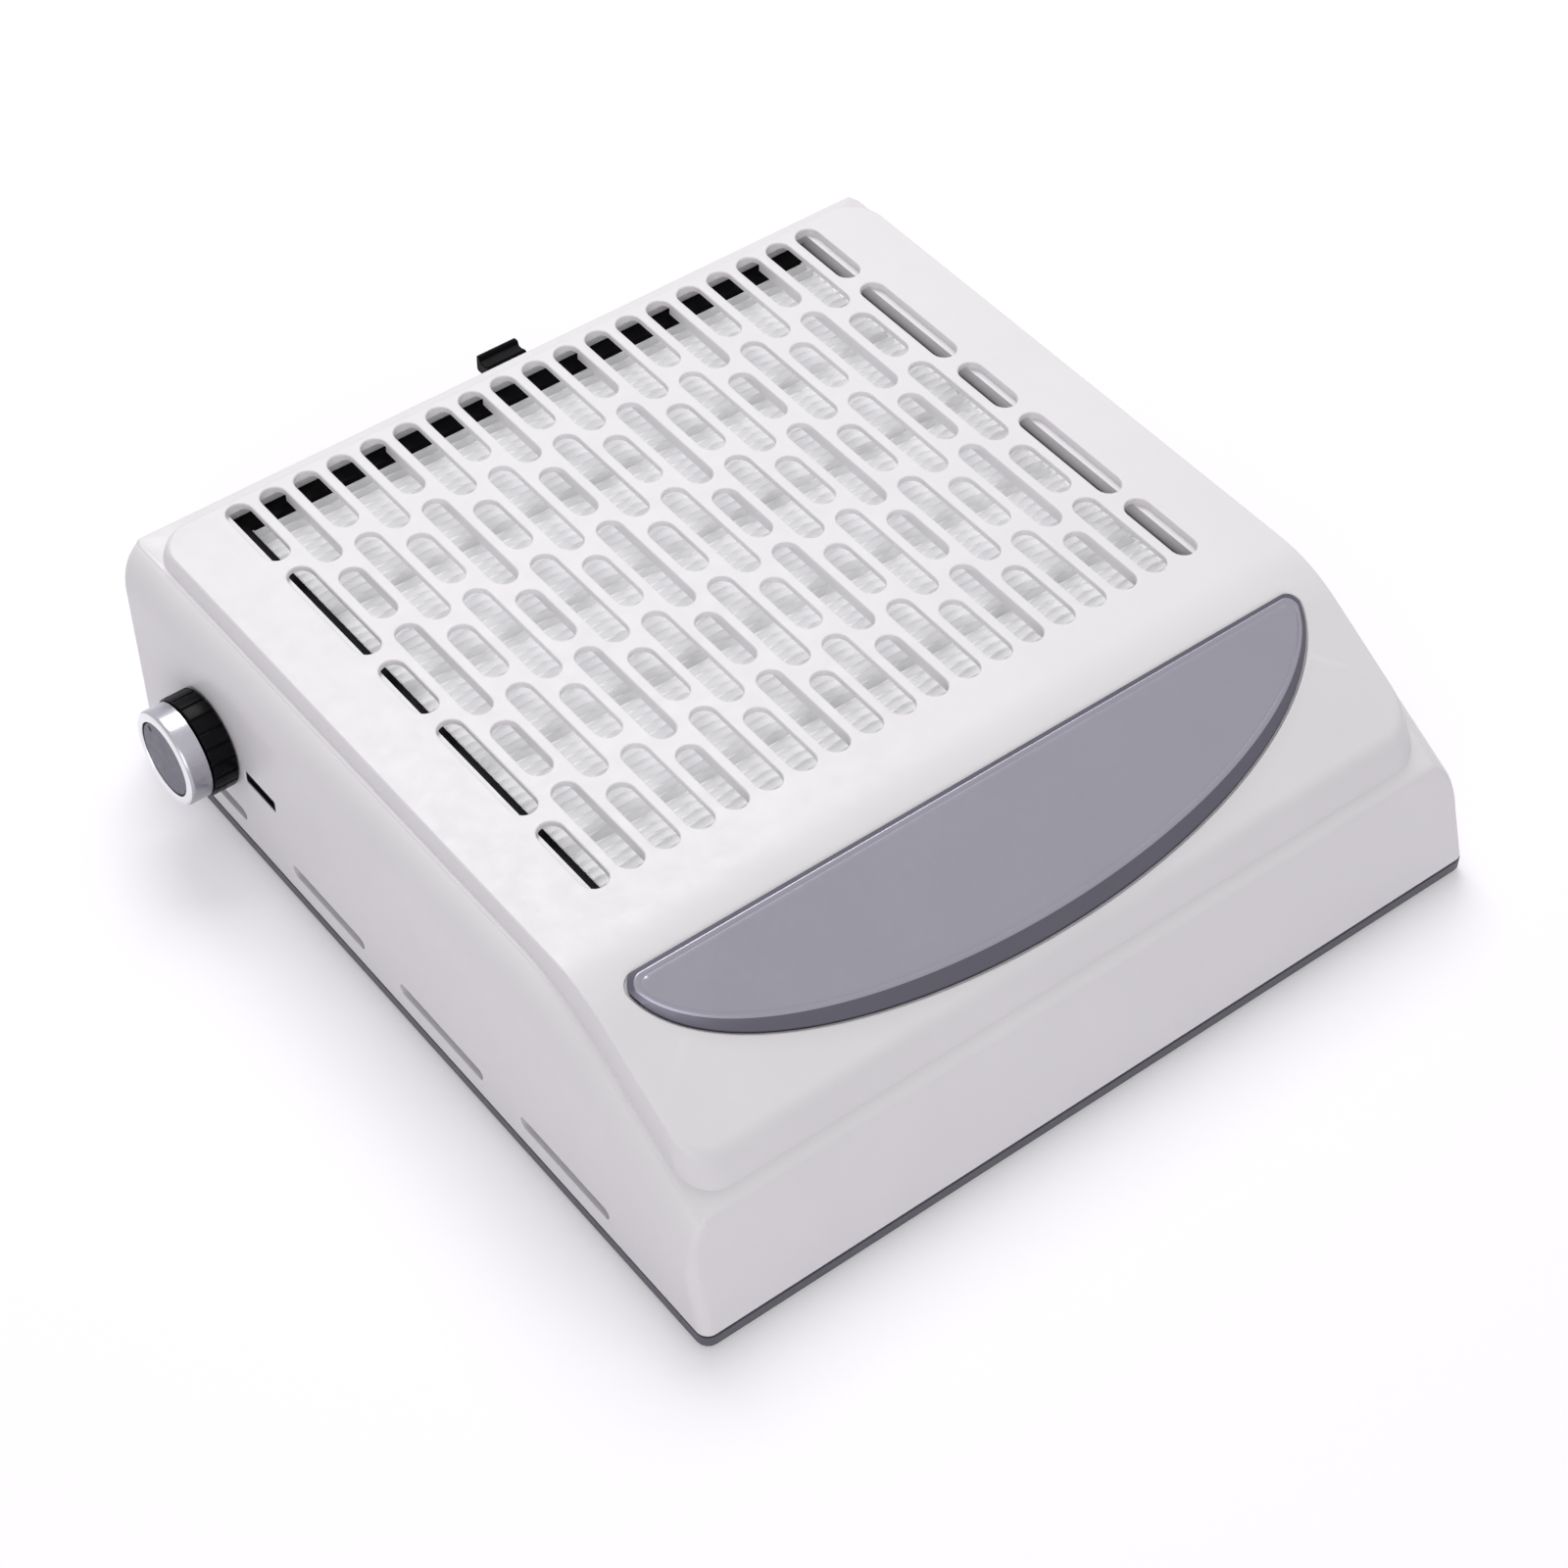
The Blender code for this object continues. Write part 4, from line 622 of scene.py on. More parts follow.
@dataclass(frozen=True)
class CircuitBoard:
    """Green board: lacquer over a grid of copper tracks and a weave below."""

    name: str
    color: Color = (0.02, 0.13, 0.05)

    def make(self) -> Look:
        """Builds the material."""
        wiring = Wiring(self.name)
        grid = wiring.add("TexVoronoi", Vector=wiring.coordinates(), Scale=180.0, distance="MANHATTAN", feature="F1")
        tracks = wiring.add("MapRange", Value=grid.outputs["Distance"], From_Min=0.42, From_Max=0.5).outputs["Result"]
        lighter = tuple(min(c * 1.9, 1.0) for c in self.color)
        wiring.shader_set(Base_Color=wiring.mix(tracks, self.color, lighter), Roughness=0.32, Coat_Weight=0.3)
        wiring.bump(tracks, 0.00003, 0.6)
        return wiring.material


@dataclass
class Body:
    """Sizes of the body that its pieces share, in millimetres of its own frame."""

    half_width: float = 120.2
    depth: float = 239.6
    corner: float = 3.2
    inner_corner: float = 1.0
    foot_proud: float = 1.8
    base_thick: float = 3.0
    shell_height: float = 63.8
    wall: float = 2.5
    roof: float = 1.6
    draft: float = radians(0.5)
    front_lean: float = radians(17.5)
    rear_lean: float = radians(3.65)
    ledge_drop: float = 4.0
    ledge_bend: float = 62.4
    ledge_slope: float = radians(29.5)
    ledge_reach: float = 16.0
    pad_rear_inset: float = 55.15
    seat_drop: float = 1.8
    pad_slope: float = radians(29.6)
    grille_rear_inset: float = 4.15
    grille_front_margin: float = 23.0
    bend_reach: float = 10.0

    def __post_init__(self) -> None:
        """Works out the places that follow from the sizes."""
        self.front, self.rear = -self.depth / 2, self.depth / 2
        self.base_top = self.foot_proud + self.base_thick
        self.bottom = self.base_top + CLEAR
        self.top = self.base_top + self.shell_height
        self.pad_rear = self.front + self.pad_rear_inset
        self.grille_rear = self.rear - self.grille_rear_inset
        self.grille_front = self.pad_rear + self.grille_front_margin
        self.fan_y = (self.grille_rear + self.grille_front) / 2

    def wall_x(self, height: float) -> float:
        """Half width of the outside at a height."""
        return self.half_width - (height - self.base_top) * tan(self.draft)

    def front_y(self, height: float) -> float:
        """Outside of the front wall at a height; the wall leans to the rear."""
        return self.front + (height - self.base_top) * tan(self.front_lean)

    def rear_y(self, height: float) -> float:
        """Outside of the rear wall at a height; the wall leans to the rear too."""
        return self.rear + (height - self.base_top) * tan(self.rear_lean)

    def ledge_z(self, y: float) -> float:
        """Height of the ledge round the raised panel: level, a soft bend and the slope."""
        fall = soft_max(self.front + self.ledge_bend - y, 0.0, self.ledge_reach)
        return self.top - self.ledge_drop - fall * tan(self.ledge_slope)

    def front_place(self, play: float, drop: float) -> Flat:
        """Line near the top of the front wall.

        Args:
            play: How far it is in from the wall.
            drop: How far it is below the ledge.

        Returns:
            Its y and height.
        """
        slope, lean = tan(self.ledge_slope), tan(self.front_lean)
        rise = 1 - slope * lean
        top = self.base_top + (self.ledge_z(self.front) - self.base_top) / rise
        z = top + (play * slope - drop) / rise
        return self.front_y(z) + play, z

    def rear_place(self, play: float, drop: float) -> Flat:
        """Y and height of a line so far in from the rear wall and so far below the ledge."""
        z = self.top - self.ledge_drop - drop
        return self.rear_y(z) - play, z

    def seat_z(self, y: float) -> float:
        """Height of the plane that the hand rest lies on."""
        return self.top - self.seat_drop - (self.pad_rear - y) * tan(self.pad_slope)

    def panel_z(self, y: float) -> float:
        """Height of the raised panel: flat grille, soft bend and slope."""
        return -soft_max(-self.top, -self.seat_z(y), self.bend_reach * tan(self.pad_slope))


BODY = Body()


def mirrored_ring(
    half_width: float,
    ends: Flat,
    radius: float,
    height: Callable[[float, float], float],
    stations: Sequence[float],
) -> list[Point]:
    """Mirrored ring of a rounded rectangle.

    Args:
        half_width: Half its width.
        ends: Front and rear ends.
        radius: Corner radius.
        height: Height at a point, by its y and its nearness to the side, one along the sides.
        stations: Extra rows along the sides.

    Returns:
        Points of the right half from the front, then of the left half from the rear.
    """
    places = [(a, ends[0] + radius * (1 - sin(a))) for a in reversed(QUARTER)]
    places += [(0.0, y) for y in stations]
    places += [(a, ends[1] - radius * (1 - sin(a))) for a in QUARTER]
    return mirrored([(half_width - radius * (1 - cos(a)), y, height(y, cos(a))) for a, y in places])


def wall_rings(
    place: Point, side: int, outline: Callable[[float], list[Flat]], levels: Iterable[Flat], lean: float = 0.0
) -> list[list[Point]]:
    """Rings along X of a shape in a side wall.

    Args:
        place: Its middle on the right wall's outside.
        side: Minus one for the left wall, one for the right.
        outline: Heights down and lengths along the wall, by an offset.
        levels: Offset and height above the surface of each ring.
        lean: Slope of the wall.

    Returns:
        The rings.
    """
    x, y, z = place
    return [[(side * (x + level + u * lean), y + v, z - u) for u, v in outline(offset)] for offset, level in levels]


@dataclass
class Pad:
    """Hand rest: a metallic wedge let into the slope."""

    half_width: float = 102.5
    depth: float = 36.0
    corner: float = 3.5
    top_lift: float = 0.9
    top_slope: float = radians(26.2)
    rim_draft: float = 1.0
    front_draft: float = 2.2
    sunk: float = 0.85
    rim_foot: float = 0.2
    recess_play: float = 0.45
    recess_lip: float = 0.9
    recess_depth: float = 1.15
    edge_insets: tuple[float, ...] = (0.0, 0.07, 0.25, 0.5, 1.05, 1.2, 1.5, 1.65, 2.4)
    edge_rises: tuple[float, ...] = (-0.5, -0.25, -0.07, 0.0, 0.0, -0.16, -0.16, -0.02, -0.02)
    steps: int = 96

    def outline(self, front_inset: float, side_inset: float, lift: Callable[[float], float]) -> list[Point]:
        """D-shaped outline: a straight rear edge with round corners and half an ellipse.

        Args:
            front_inset: How far the ellipse's front moves inward.
            side_inset: How far the ends and the rear edge move inward.
            lift: Height at a y.

        Returns:
            The points.
        """
        width, depth = self.half_width - side_inset, self.depth - front_inset
        radius, rear = max(self.corner - side_inset * 0.5, 0.4), BODY.pad_rear - side_inset
        start = asin((side_inset + radius) / depth)
        turns = (start + (pi - 2 * start) * k / self.steps for k in range(1, self.steps))
        points = [(-width * cos(a), BODY.pad_rear - depth * sin(a)) for a in turns]
        middle = width * cos(start) - radius
        right = [(middle + radius * cos(a), rear - radius * (1 - sin(a))) for a in (k * pi / 16 for k in range(9))]
        return [(x, y, lift(y)) for x, y in points + right + [(-x, y) for x, y in reversed(right)]]

    def top_z(self, y: float) -> float:
        """Height of the top plane."""
        return BODY.seat_z(BODY.pad_rear) + self.top_lift - (BODY.pad_rear - y) * tan(self.top_slope)

    def above_seat(self, inset: float, level: float) -> list[Point]:
        """Outline moved inward, at a height above the plane that the pad lies on."""
        return self.outline(inset, inset, lambda y: BODY.seat_z(y) + level)

    def recess(self, tool: Form) -> None:
        """Adds the cutter of the shallow recess that the pad lies in."""
        levels = lip_profile(self.recess_lip, self.recess_depth, 7)
        tool.loft([self.above_seat(-self.recess_play - offset, level) for offset, level in levels])

    def build(self, look: Look, rim_look: Look) -> Piece:
        """Builds and dresses the pad.

        Args:
            look: Material of its top.
            rim_look: Material of its side, a darker copy of its metal that is painted shade.

        Returns:
            The piece.
        """
        rings = [self.above_seat(0.0, -self.sunk), self.above_seat(0.0, self.rim_foot)]
        for inset, rise in zip(self.edge_insets, self.edge_rises):
            front, side = self.front_draft + inset, self.rim_draft + inset
            rings.append(self.outline(front, side, lambda y, rise=rise: self.top_z(y) + rise))
        # The side faces take the darker copy of the metal, which is painted shade.
        pad = Form().loft(rings).mark(0, 2 * len(rings[0])).make("hand_rest", look, rim_look)
        return dress(smooth(pad, 50.0), "housing", "hand_rest_pad")


@dataclass
class Grille:
    """Staggered slots of the raised panel."""

    slot_width: float = 7.0
    pitch: float = 10.0
    columns: int = 9
    long_slot: float = 36.2
    short_slot: float = 20.2
    bridge: float = 4.3
    least: float = 9.0
    lip: float = 0.45
    end_steps: int = 9

    def rows(self, first: float, second: float) -> list[Flat]:
        """Slots of one column, from the grille's middle to its ends.

        Args:
            first: Length of the middle slot.
            second: Length of the slots next to it.

        Returns:
            Pairs of middle and length.
        """
        half = (BODY.grille_rear - BODY.grille_front) / 2
        slots = [(0.0, first)]
        edge = first / 2 + self.bridge
        while edge + second + self.bridge + self.least < half:
            slots += [(side * (edge + second / 2), second) for side in (-1, 1)]
            edge += second + self.bridge
            first, second = second, first
        slots += [(side * (edge + half) / 2, half - edge) for side in (-1, 1)]
        return [(BODY.fan_y + y, length) for y, length in slots]

    def ring(self, length: float, offset: float, level: float) -> list[Point]:
        """Ring of a slot's cutter, larger by an offset all round, at a level above the panel."""
        outline = slot_outline(length + 2 * offset, self.slot_width + 2 * offset, self.end_steps)
        return [(x, y, BODY.top + level) for x, y in outline]

    def cut(self, tool: Form, look: Look) -> None:
        """Adds the cutters of all the slots.

        Args:
            tool: Form that they go into.
            look: Material of the walls that they leave.
        """
        for odd, lengths in enumerate(((self.long_slot, self.short_slot), (self.short_slot, self.long_slot))):
            most = self.columns - (self.columns + odd) % 2
            for y, length in self.rows(*lengths):
                slot = Form().loft([self.ring(length, *step) for step in lip_profile(self.lip, BODY.roof + OVER)])
                row = Repeat(most + 1, (-most * self.pitch, y, 0.0), (2 * self.pitch, 0.0, 0.0))
                tool.include(row.of(slot, look))


@dataclass
class Shell:
    """White upper moulding with its panel, grille, filter bay, vents and ports."""

    shoulder_width: float = 9.0
    shoulder_drop: float = 13.6
    shoulder_turn: float = radians(66.0)
    end_edge: float = 1.0
    panel_side_inset: float = 9.0
    flare: float = 1.5
    foot_drop: float = 0.75
    rim: float = 0.8
    rear_inset: float = 7.2
    rear_run: float = 2.3
    front_inset: float = 18.45
    front_run: float = 5.65
    panel_radius: float = 9.5
    bay_half_width: float = 91.6
    bay_wall: float = 2.0
    bay_play: float = 0.6
    filter_margin: float = 3.2
    filter_top: float = 62.7
    filter_bottom: float = 42.7
    roof_end_inset: float = 1.6
    rib_places: tuple[float, ...] = (15.0, 45.0, 75.0)
    rib_thick: float = 2.0
    rib_depth: float = 2.75
    post_inset: Flat = (15.8, 15.6)
    post_radius: float = 4.0
    deck_post_radius: float = 3.0
    deck_post_inset: float = 6.6
    deck_post_play: float = 0.2
    screw_radius: float = 1.7
    screw_depth: float = 12.5
    vent_row: tuple[float, ...] = (31.7, 21.3, 32.2, 15.4, 35.3, 15.3, 35.4)
    vent_rear_inset: float = 17.3
    vent_front_inset: float = 36.7
    vent_height: float = 3.5
    vent_level: float = 12.2
    vent_lip: float = 0.35
    port_width: float = 13.6
    port_height: float = 3.8
    port_place: float = 57.85
    port_level: float = 29.5
    port_corner: float = 0.5
    port_lip: float = 0.25
    nose_corner: float = 0.4
    nose: tuple[Flat, ...] = ((0.12, -2.4), (0.12, -0.3), (0.25, -0.17), (0.7, -0.17), (0.8, -0.3), (0.8, -1.8))
    knob_place: Flat = (35.6, 31.0)
    knob_hole: float = 4.8
    grille: Grille = field(default_factory=Grille)
    pad: Pad = field(default_factory=Pad)

    def stations(self) -> list[float]:
        """Rows along the sides, close together over the bends."""
        bend = BODY.front + BODY.ledge_bend
        return [bend + 2.0 * k for k in range(-9, 10)] + [bend + 22.0 + 18.0 * k for k in range(8)]

    def shoulder_ring(self, turn: float, inside: bool) -> list[Point]:
        """Ring along one line of the side's profile, carried round the corners onto the end walls.

        Args:
            turn: Angle along the shoulder's elliptic arc.
            inside: Whether it is one wall further in.

        Returns:
            The ring.
        """
        wall, roof = (BODY.wall, BODY.roof) if inside else (0.0, 0.0)
        up = sin(turn)
        across, upward = Vector((self.shoulder_drop * cos(turn), self.shoulder_width * up)).normalized()
        reach = self.shoulder_width * (1 - cos(turn)) + wall * across
        drop = self.shoulder_drop * (1 - up) + roof * upward
        radius = BODY.inner_corner if inside else BODY.corner + (self.end_edge - BODY.corner) * up

        def corner(angle: float, place: Callable[[float, float], Flat]) -> Point:
            """Point of a corner's rounding."""
            fold = radius * (1 - cos(angle))
            y, z = place(wall + radius * (1 - sin(angle)), drop + fold * upward)
            return BODY.wall_x(z) - reach - fold * across, y, z

        half = [corner(angle, BODY.front_place) for angle in reversed(QUARTER)]
        for y in self.stations():
            z = BODY.ledge_z(y) - drop
            half.append((BODY.wall_x(z) - reach, y, z))
        return mirrored(half + [corner(angle, BODY.rear_place) for angle in QUARTER])

    def edge_ring(self, share: float) -> list[Point]:
        """Ring that rolls from the end walls over their top edges onto the ledge.

        Args:
            share: How far it is along the roll.

        Returns:
            The ring.
        """
        play, fall = self.end_edge * share**2, self.end_edge * (1 - share) ** 2
        foot = BODY.half_width - self.panel_side_inset + self.flare
        side_fall = self.foot_drop + 0.3 * (1 - share) ** 2
        return mirrored_ring(
            foot + self.rim * (1.5 - 0.5 * share),
            (BODY.front_place(play, fall)[0], BODY.rear_place(play, fall)[0]),
            self.end_edge,
            lambda y, side: BODY.ledge_z(y) - side_fall * side**2 - fall * (1 - side**2),
            self.stations(),
        )

    def step_ring(self, run: float, rise: float, inside: bool) -> list[Point]:
        """Ring between the ledge and the panel.

        Args:
            run: Share of the way inward.
            rise: Share of the way up.
            inside: Whether it is one wall further in.

        Returns:
            The ring.
        """
        wall, roof = (BODY.wall, BODY.roof) if inside else (0.0, 0.0)
        half_width = BODY.half_width - self.panel_side_inset + self.flare * (1 - run) - wall
        front = BODY.front + self.front_inset - self.front_run * (1 - run) + wall
        rear = BODY.rear_y(BODY.top) - self.rear_inset + self.rear_run * (1 - run) - wall

        def height(y: float, side: float) -> float:
            """Height at a point."""
            foot = BODY.ledge_z(y) - self.foot_drop * side**2
            return foot + rise * (BODY.panel_z(y) - foot) - roof

        return mirrored_ring(half_width, (front, rear), self.panel_radius, height, self.stations())

    def rings(self, inside: bool) -> list[list[Point]]:
        """Rings of the body from its bottom to the panel's top edge.

        Args:
            inside: Whether they are one wall further in.

        Returns:
            The rings.
        """
        wall, radius, steps = (BODY.wall, BODY.inner_corner, 4) if inside else (0.0, BODY.corner, 14)
        rings = []
        feet = ((BODY.bottom - BODY.wall, 0.0),) if inside else ((BODY.bottom, 0.4), (BODY.bottom + 0.4, 0.0))
        for level, inset in feet:
            ends = (BODY.front_y(level) + wall + inset, BODY.rear_y(level) - wall - inset)
            half_width = BODY.wall_x(level) - wall - inset
            rings.append(mirrored_ring(half_width, ends, radius - inset, lambda y, side, z=level: z, self.stations()))
        rings += [self.shoulder_ring(self.shoulder_turn * k / steps, inside) for k in range(steps + 1)]
        if not inside:
            rings += [self.edge_ring(k / 4) for k in range(5)]
        for t in (k / steps for k in range(steps + 1)):
            run = 3 * (1 - t) ** 2 * t * 0.2 + 3 * (1 - t) * t * t * 0.4 + t**3
            rise = 3 * (1 - t) ** 2 * t * 0.3 + 3 * (1 - t) * t * t + t**3
            rings.append(self.step_ring(run, rise, inside))
        return rings

    def bay_front(self) -> float:
        """Inner front end of the filter bay."""
        return BODY.grille_front - self.filter_margin - self.bay_play

    def deck_posts(self) -> list[Flat]:
        """Middles of the four posts beside the filter bay."""
        x = self.bay_half_width + self.bay_wall + self.deck_post_play + self.deck_post_radius
        ends = (self.bay_front() + self.deck_post_inset, BODY.grille_rear - self.deck_post_inset)
        return [(side * x, y) for y in ends for side in (-1, 1)]

    def corner_posts(self) -> list[Flat]:
        """Middles of the four posts in the corners."""
        x, y = BODY.half_width - self.post_inset[0], BODY.rear - self.post_inset[1]
        return [(side * x, end * y) for end in (-1, 1) for side in (-1, 1)]

    def inner_forms(self) -> tuple[Form, Form, Form]:
        """Walls and posts inside the moulding.

        Returns:
            The bay's sides with the corner posts, its front with the deck's posts, and the grille's ribs.
        """
        sides, front, ribs = Form(), Form(), Form()
        inner, low, under = self.bay_front(), self.filter_bottom, BODY.top - BODY.roof
        roof_end = BODY.rear_y(BODY.top) - self.rear_inset - self.roof_end_inset
        low_top, top = BODY.top - BODY.ledge_drop - BODY.roof + OVER, under + OVER
        start, inward = inner - self.bay_wall, OVER - BODY.wall
        profile = [(start, low), (BODY.rear_y(low) + inward, low), (BODY.rear_y(low_top) + inward, low_top)]
        profile += [(roof_end + 2.0, low_top), (roof_end, top), (start, top)]
        for side in (-1, 1):
            ends = sorted((side * self.bay_half_width, side * (self.bay_half_width + self.bay_wall)))
            sides.prism(profile, *ends, along=Axis.X)
        for x, y in self.corner_posts():
            roof = top if y > 0 else BODY.ledge_z(y - self.post_radius) - OVER
            sides.prism(circle((x, y), self.post_radius, 24), BODY.bottom, roof)
        reach = self.bay_half_width + self.bay_wall / 2
        front.box((-reach, start, low), (reach, inner, top))
        for place in self.deck_posts():
            front.prism(circle(place, self.deck_post_radius, 24), low, top)
        for x in (side * place for place in self.rib_places for side in (-1, 1)):
            corner = (x - self.rib_thick / 2, inner - self.bay_wall / 2, under - self.rib_depth)
            ribs.box(corner, (x + self.rib_thick / 2, BODY.grille_rear - BODY.wall, under + OVER / 2))
        return sides, front, ribs

    def side_vents(self, tool: Form, side: int) -> None:
        """Adds the cutters of the vents low in one side wall.

        Args:
            tool: Form that they go into.
            side: Minus one for the left wall, one for the right.
        """
        unit = (BODY.depth - self.vent_rear_inset - self.vent_front_inset) / sum(self.vent_row)
        for k in range(0, len(self.vent_row), 2):
            length = self.vent_row[k] * unit
            y = BODY.rear - self.vent_rear_inset - sum(self.vent_row[:k]) * unit - length / 2
            place = (BODY.wall_x(self.vent_level), y, self.vent_level)

            def outline(grow: float, length: float = length) -> list[Flat]:
                """Outline of a vent that is larger by an offset all round."""
                return slot_outline(length + 2 * grow, self.vent_height + 2 * grow, 8)

            tool.loft(wall_rings(place, side, outline, lip_profile(self.vent_lip, 2 * BODY.wall), tan(BODY.draft)))

    def port_rings(self, levels: Iterable[Flat], sign: int, corner: float, lean: float = 0.0) -> list[list[Point]]:
        """Rings of the power slot in the left wall.

        Args:
            levels: Offset and height above the surface of each ring.
            sign: One where the offsets make it larger, minus one where smaller.
            corner: Corner radius; it grows with the slot.
            lean: Slope of the wall.

        Returns:
            The rings.
        """

        def outline(offset: float) -> list[Flat]:
            """Outline of the slot by an offset."""
            grow = 2 * sign * offset
            return bar_outline(self.port_width + grow, self.port_height + grow, corner + max(sign, 0) * offset)

        place = (BODY.wall_x(self.port_level), BODY.rear - self.port_place, self.port_level)
        return wall_rings(place, -1, outline, levels, lean)

    def build_port_nose_and_shade(self, look: Look) -> Piece:
        """Builds and dresses the socket's nose, which fills the power slot almost flush and so also stands in for the
        shade inside it as painted shade.

        Args:
            look: Its material.

        Returns:
            The piece.
        """
        # Partly a real socket, partly painted shade: the black nose sits almost flush so that the slot reads dark.
        nose = Form().loft(self.port_rings(self.nose, -1, self.nose_corner)).make("socket_nose", look)
        smooth(nose, 50.0)
        return dress(nose, "housing")

    def cutters(self, look: Look) -> Form:
        """All that is cut out of the moulding.

        Args:
            look: Material of the walls that the slots leave.

        Returns:
            The form.
        """
        tool = Form()
        self.grille.cut(tool, look)
        self.pad.recess(tool)
        for side in (-1, 1):
            self.side_vents(tool, side)
        tool.loft(self.port_rings(lip_profile(self.port_lip, 2 * BODY.wall), 1, self.port_corner, tan(BODY.draft)))
        wall = BODY.wall_x(self.knob_place[1])
        hole = circle((BODY.rear - self.knob_place[0], self.knob_place[1]), self.knob_hole, 32)
        tool.prism(hole, -wall - 2 * BODY.wall, -wall + 2 * BODY.wall, along=Axis.X)
        low = (-self.bay_half_width, BODY.grille_rear - BODY.wall, self.filter_bottom - CLEAR)
        tool.box(low, (self.bay_half_width, BODY.rear_y(BODY.top) + BODY.wall, self.filter_top + CLEAR))
        for places, foot in ((self.corner_posts(), BODY.bottom), (self.deck_posts(), self.filter_bottom)):
            for place in places:
                tool.prism(circle(place, self.screw_radius, 16), foot - BODY.wall, foot + self.screw_depth)
        return tool

    def build(self, look: Look) -> Piece:
        """Builds and dresses the moulding.

        Args:
            look: Its material.

        Returns:
            The piece.
        """
        shell = Form().loft(self.rings(False), Cap.STRIPS).make("upper_shell", look)
        combine(shell, Form().loft(self.rings(True), Cap.STRIPS), Join.CUT)
        for form in self.inner_forms():
            combine(shell, form, Join.ADD)
        combine(shell, self.cutters(look), Join.CUT)
        return dress(smooth(shell), "housing", "upper_housing")


@dataclass
class Cartridge:
    """Filter cartridge: the black frame with its tab and the pleated paper."""

    half_width: float = 91.0
    top: float = 62.7
    bottom: float = 42.7
    bar: float = 3.0
    front_margin: float = 3.2
    rear_margin: float = 3.8
    cross_height: float = 2.0
    cross_bars: int = 4
    tab_half_width: float = 6.2
    tab_reach: float = 15.2
    tab_depth: float = 4.0
    tab_drop: float = 0.3
    tab_ridge: float = 1.1
    tab_edge: float = 0.35
    pleat_pitch: float = 2.9
    pleat_steps: int = 14
    pleat_power: float = 2.6
    media_height: float = 17.6
    paper: float = 0.35
    glue: float = 0.7
    glue_drop: float = 1.0

    def span(self) -> Flat:
        """Front and rear ends of the paper."""
        front = BODY.grille_front - self.front_margin + self.bar + CLEAR
        return front, BODY.grille_rear - self.rear_margin - CLEAR

    def paper_room(self) -> Flat:
        """Half the paper's width and the height that it starts at."""
        return self.half_width - self.bar - CLEAR, self.bottom + self.cross_height + CLEAR

    def tab(self) -> Form:
        """Pull tab with a raised lip at its end and a ridge across its top.

        Returns:
            The form.
        """
        start, end = BODY.rear_y(self.top) - self.bar, BODY.grille_rear + self.tab_reach
        top, high, low = self.top - self.tab_drop, self.top + self.tab_ridge, self.top - self.tab_depth
        back = [(0.5, low), (0.0, low + 0.5), (0.0, high - 0.4), (0.4, high), (0.9, high), (1.3, high - 0.4)]
        back += [(1.5, top + 0.15), (1.8, top), (4.0, top), (4.3, top + 0.5), (4.9, top + 0.5), (5.2, top)]
        profile = [(start, low), *((end - y, z) for y, z in back), (start, top)]
        rings = []
        for x, inset in ((-self.tab_half_width, self.tab_edge), (-self.tab_half_width + self.tab_edge, 0.0)):
            at = [(y - (inset if y > start else 0.0), z + (inset if z < top else -inset)) for y, z in profile]
            rings.append([(x, y, z) for y, z in at])
        return Form().loft(rings + [[(-x, y, z) for x, y, z in ring] for ring in reversed(rings)])

    def build_frame(self, look: Look) -> Piece:
        """Builds and dresses the frame.

        Args:
            look: Its material.

        Returns:
            The piece.
        """
        front, rear = (end + step for end, step in zip(self.span(), (-CLEAR, CLEAR)))
        start = front - self.bar
        outline = [(start, self.bottom), (BODY.rear_y(self.bottom), self.bottom)]
        outline += [(BODY.rear_y(self.top) - CLEAR, self.top), (start, self.top)]
        cage = Form().prism(outline, -self.half_width, self.half_width, along=Axis.X).make("filter_cage", look)
        combine(cage, self.tab(), Join.ADD)
        side, floor = self.half_width - self.bar, self.bottom + self.cross_height
        combine(cage, Form().box((-side, front, floor), (side, rear, self.top + OVER)), Join.CUT)
        fields, half = Form(), self.bar / 2
        pitch = (rear - front) / (self.cross_bars + 1)
        for k in range(self.cross_bars + 1):
            low, high = front + k * pitch + half, front + (k + 1) * pitch - half
            for left, right in ((half - side, -half), (half, side - half)):
                fields.box((left, low, self.bottom - OVER), (right, high, floor + OVER))
        combine(cage, fields, Join.CUT)
        return dress(smooth(cage), "filter", "filter_frame")

    def build_paper(self, look: Look) -> Piece:
        """Builds and dresses the pleated paper.

        Args:
            look: Its material.

        Returns:
            The piece.
        """
        (front, rear), (half, low) = self.span(), self.paper_room()
        pleats = round((rear - front) / self.pleat_pitch)
        pitch, rise = (rear - front) / pleats, self.media_height - 2 * self.paper
        shares = [k / self.pleat_steps for k in range(self.pleat_steps + 1)]
        fold = [(t * pitch, low + self.paper + rise * (1 - abs(2 * t - 1) ** self.pleat_power)) for t in shares]
        pleat = Form()
        made = [[pleat.mesh.verts.new((x * half / 3, y, z)) for y, z in fold] for x in range(-3, 4)]
        for left, right in zip(made, made[1:]):
            for k in range(self.pleat_steps):
                pleat.mesh.faces.new((left[k], right[k], right[k + 1], left[k + 1]))
        row = Repeat(pleats, (0.0, front, 0.0), (0.0, pitch, 0.0), weld=0.002)
        paper = Form().include(row.of(pleat, look)).make("filter_paper", look)
        sheet = paper.modifiers.new("thickness", "SOLIDIFY")
        sheet.thickness, sheet.offset = self.paper * MM, 0.0
        return dress(smooth(settle(paper), 60.0, False), "filter", "filter_media")

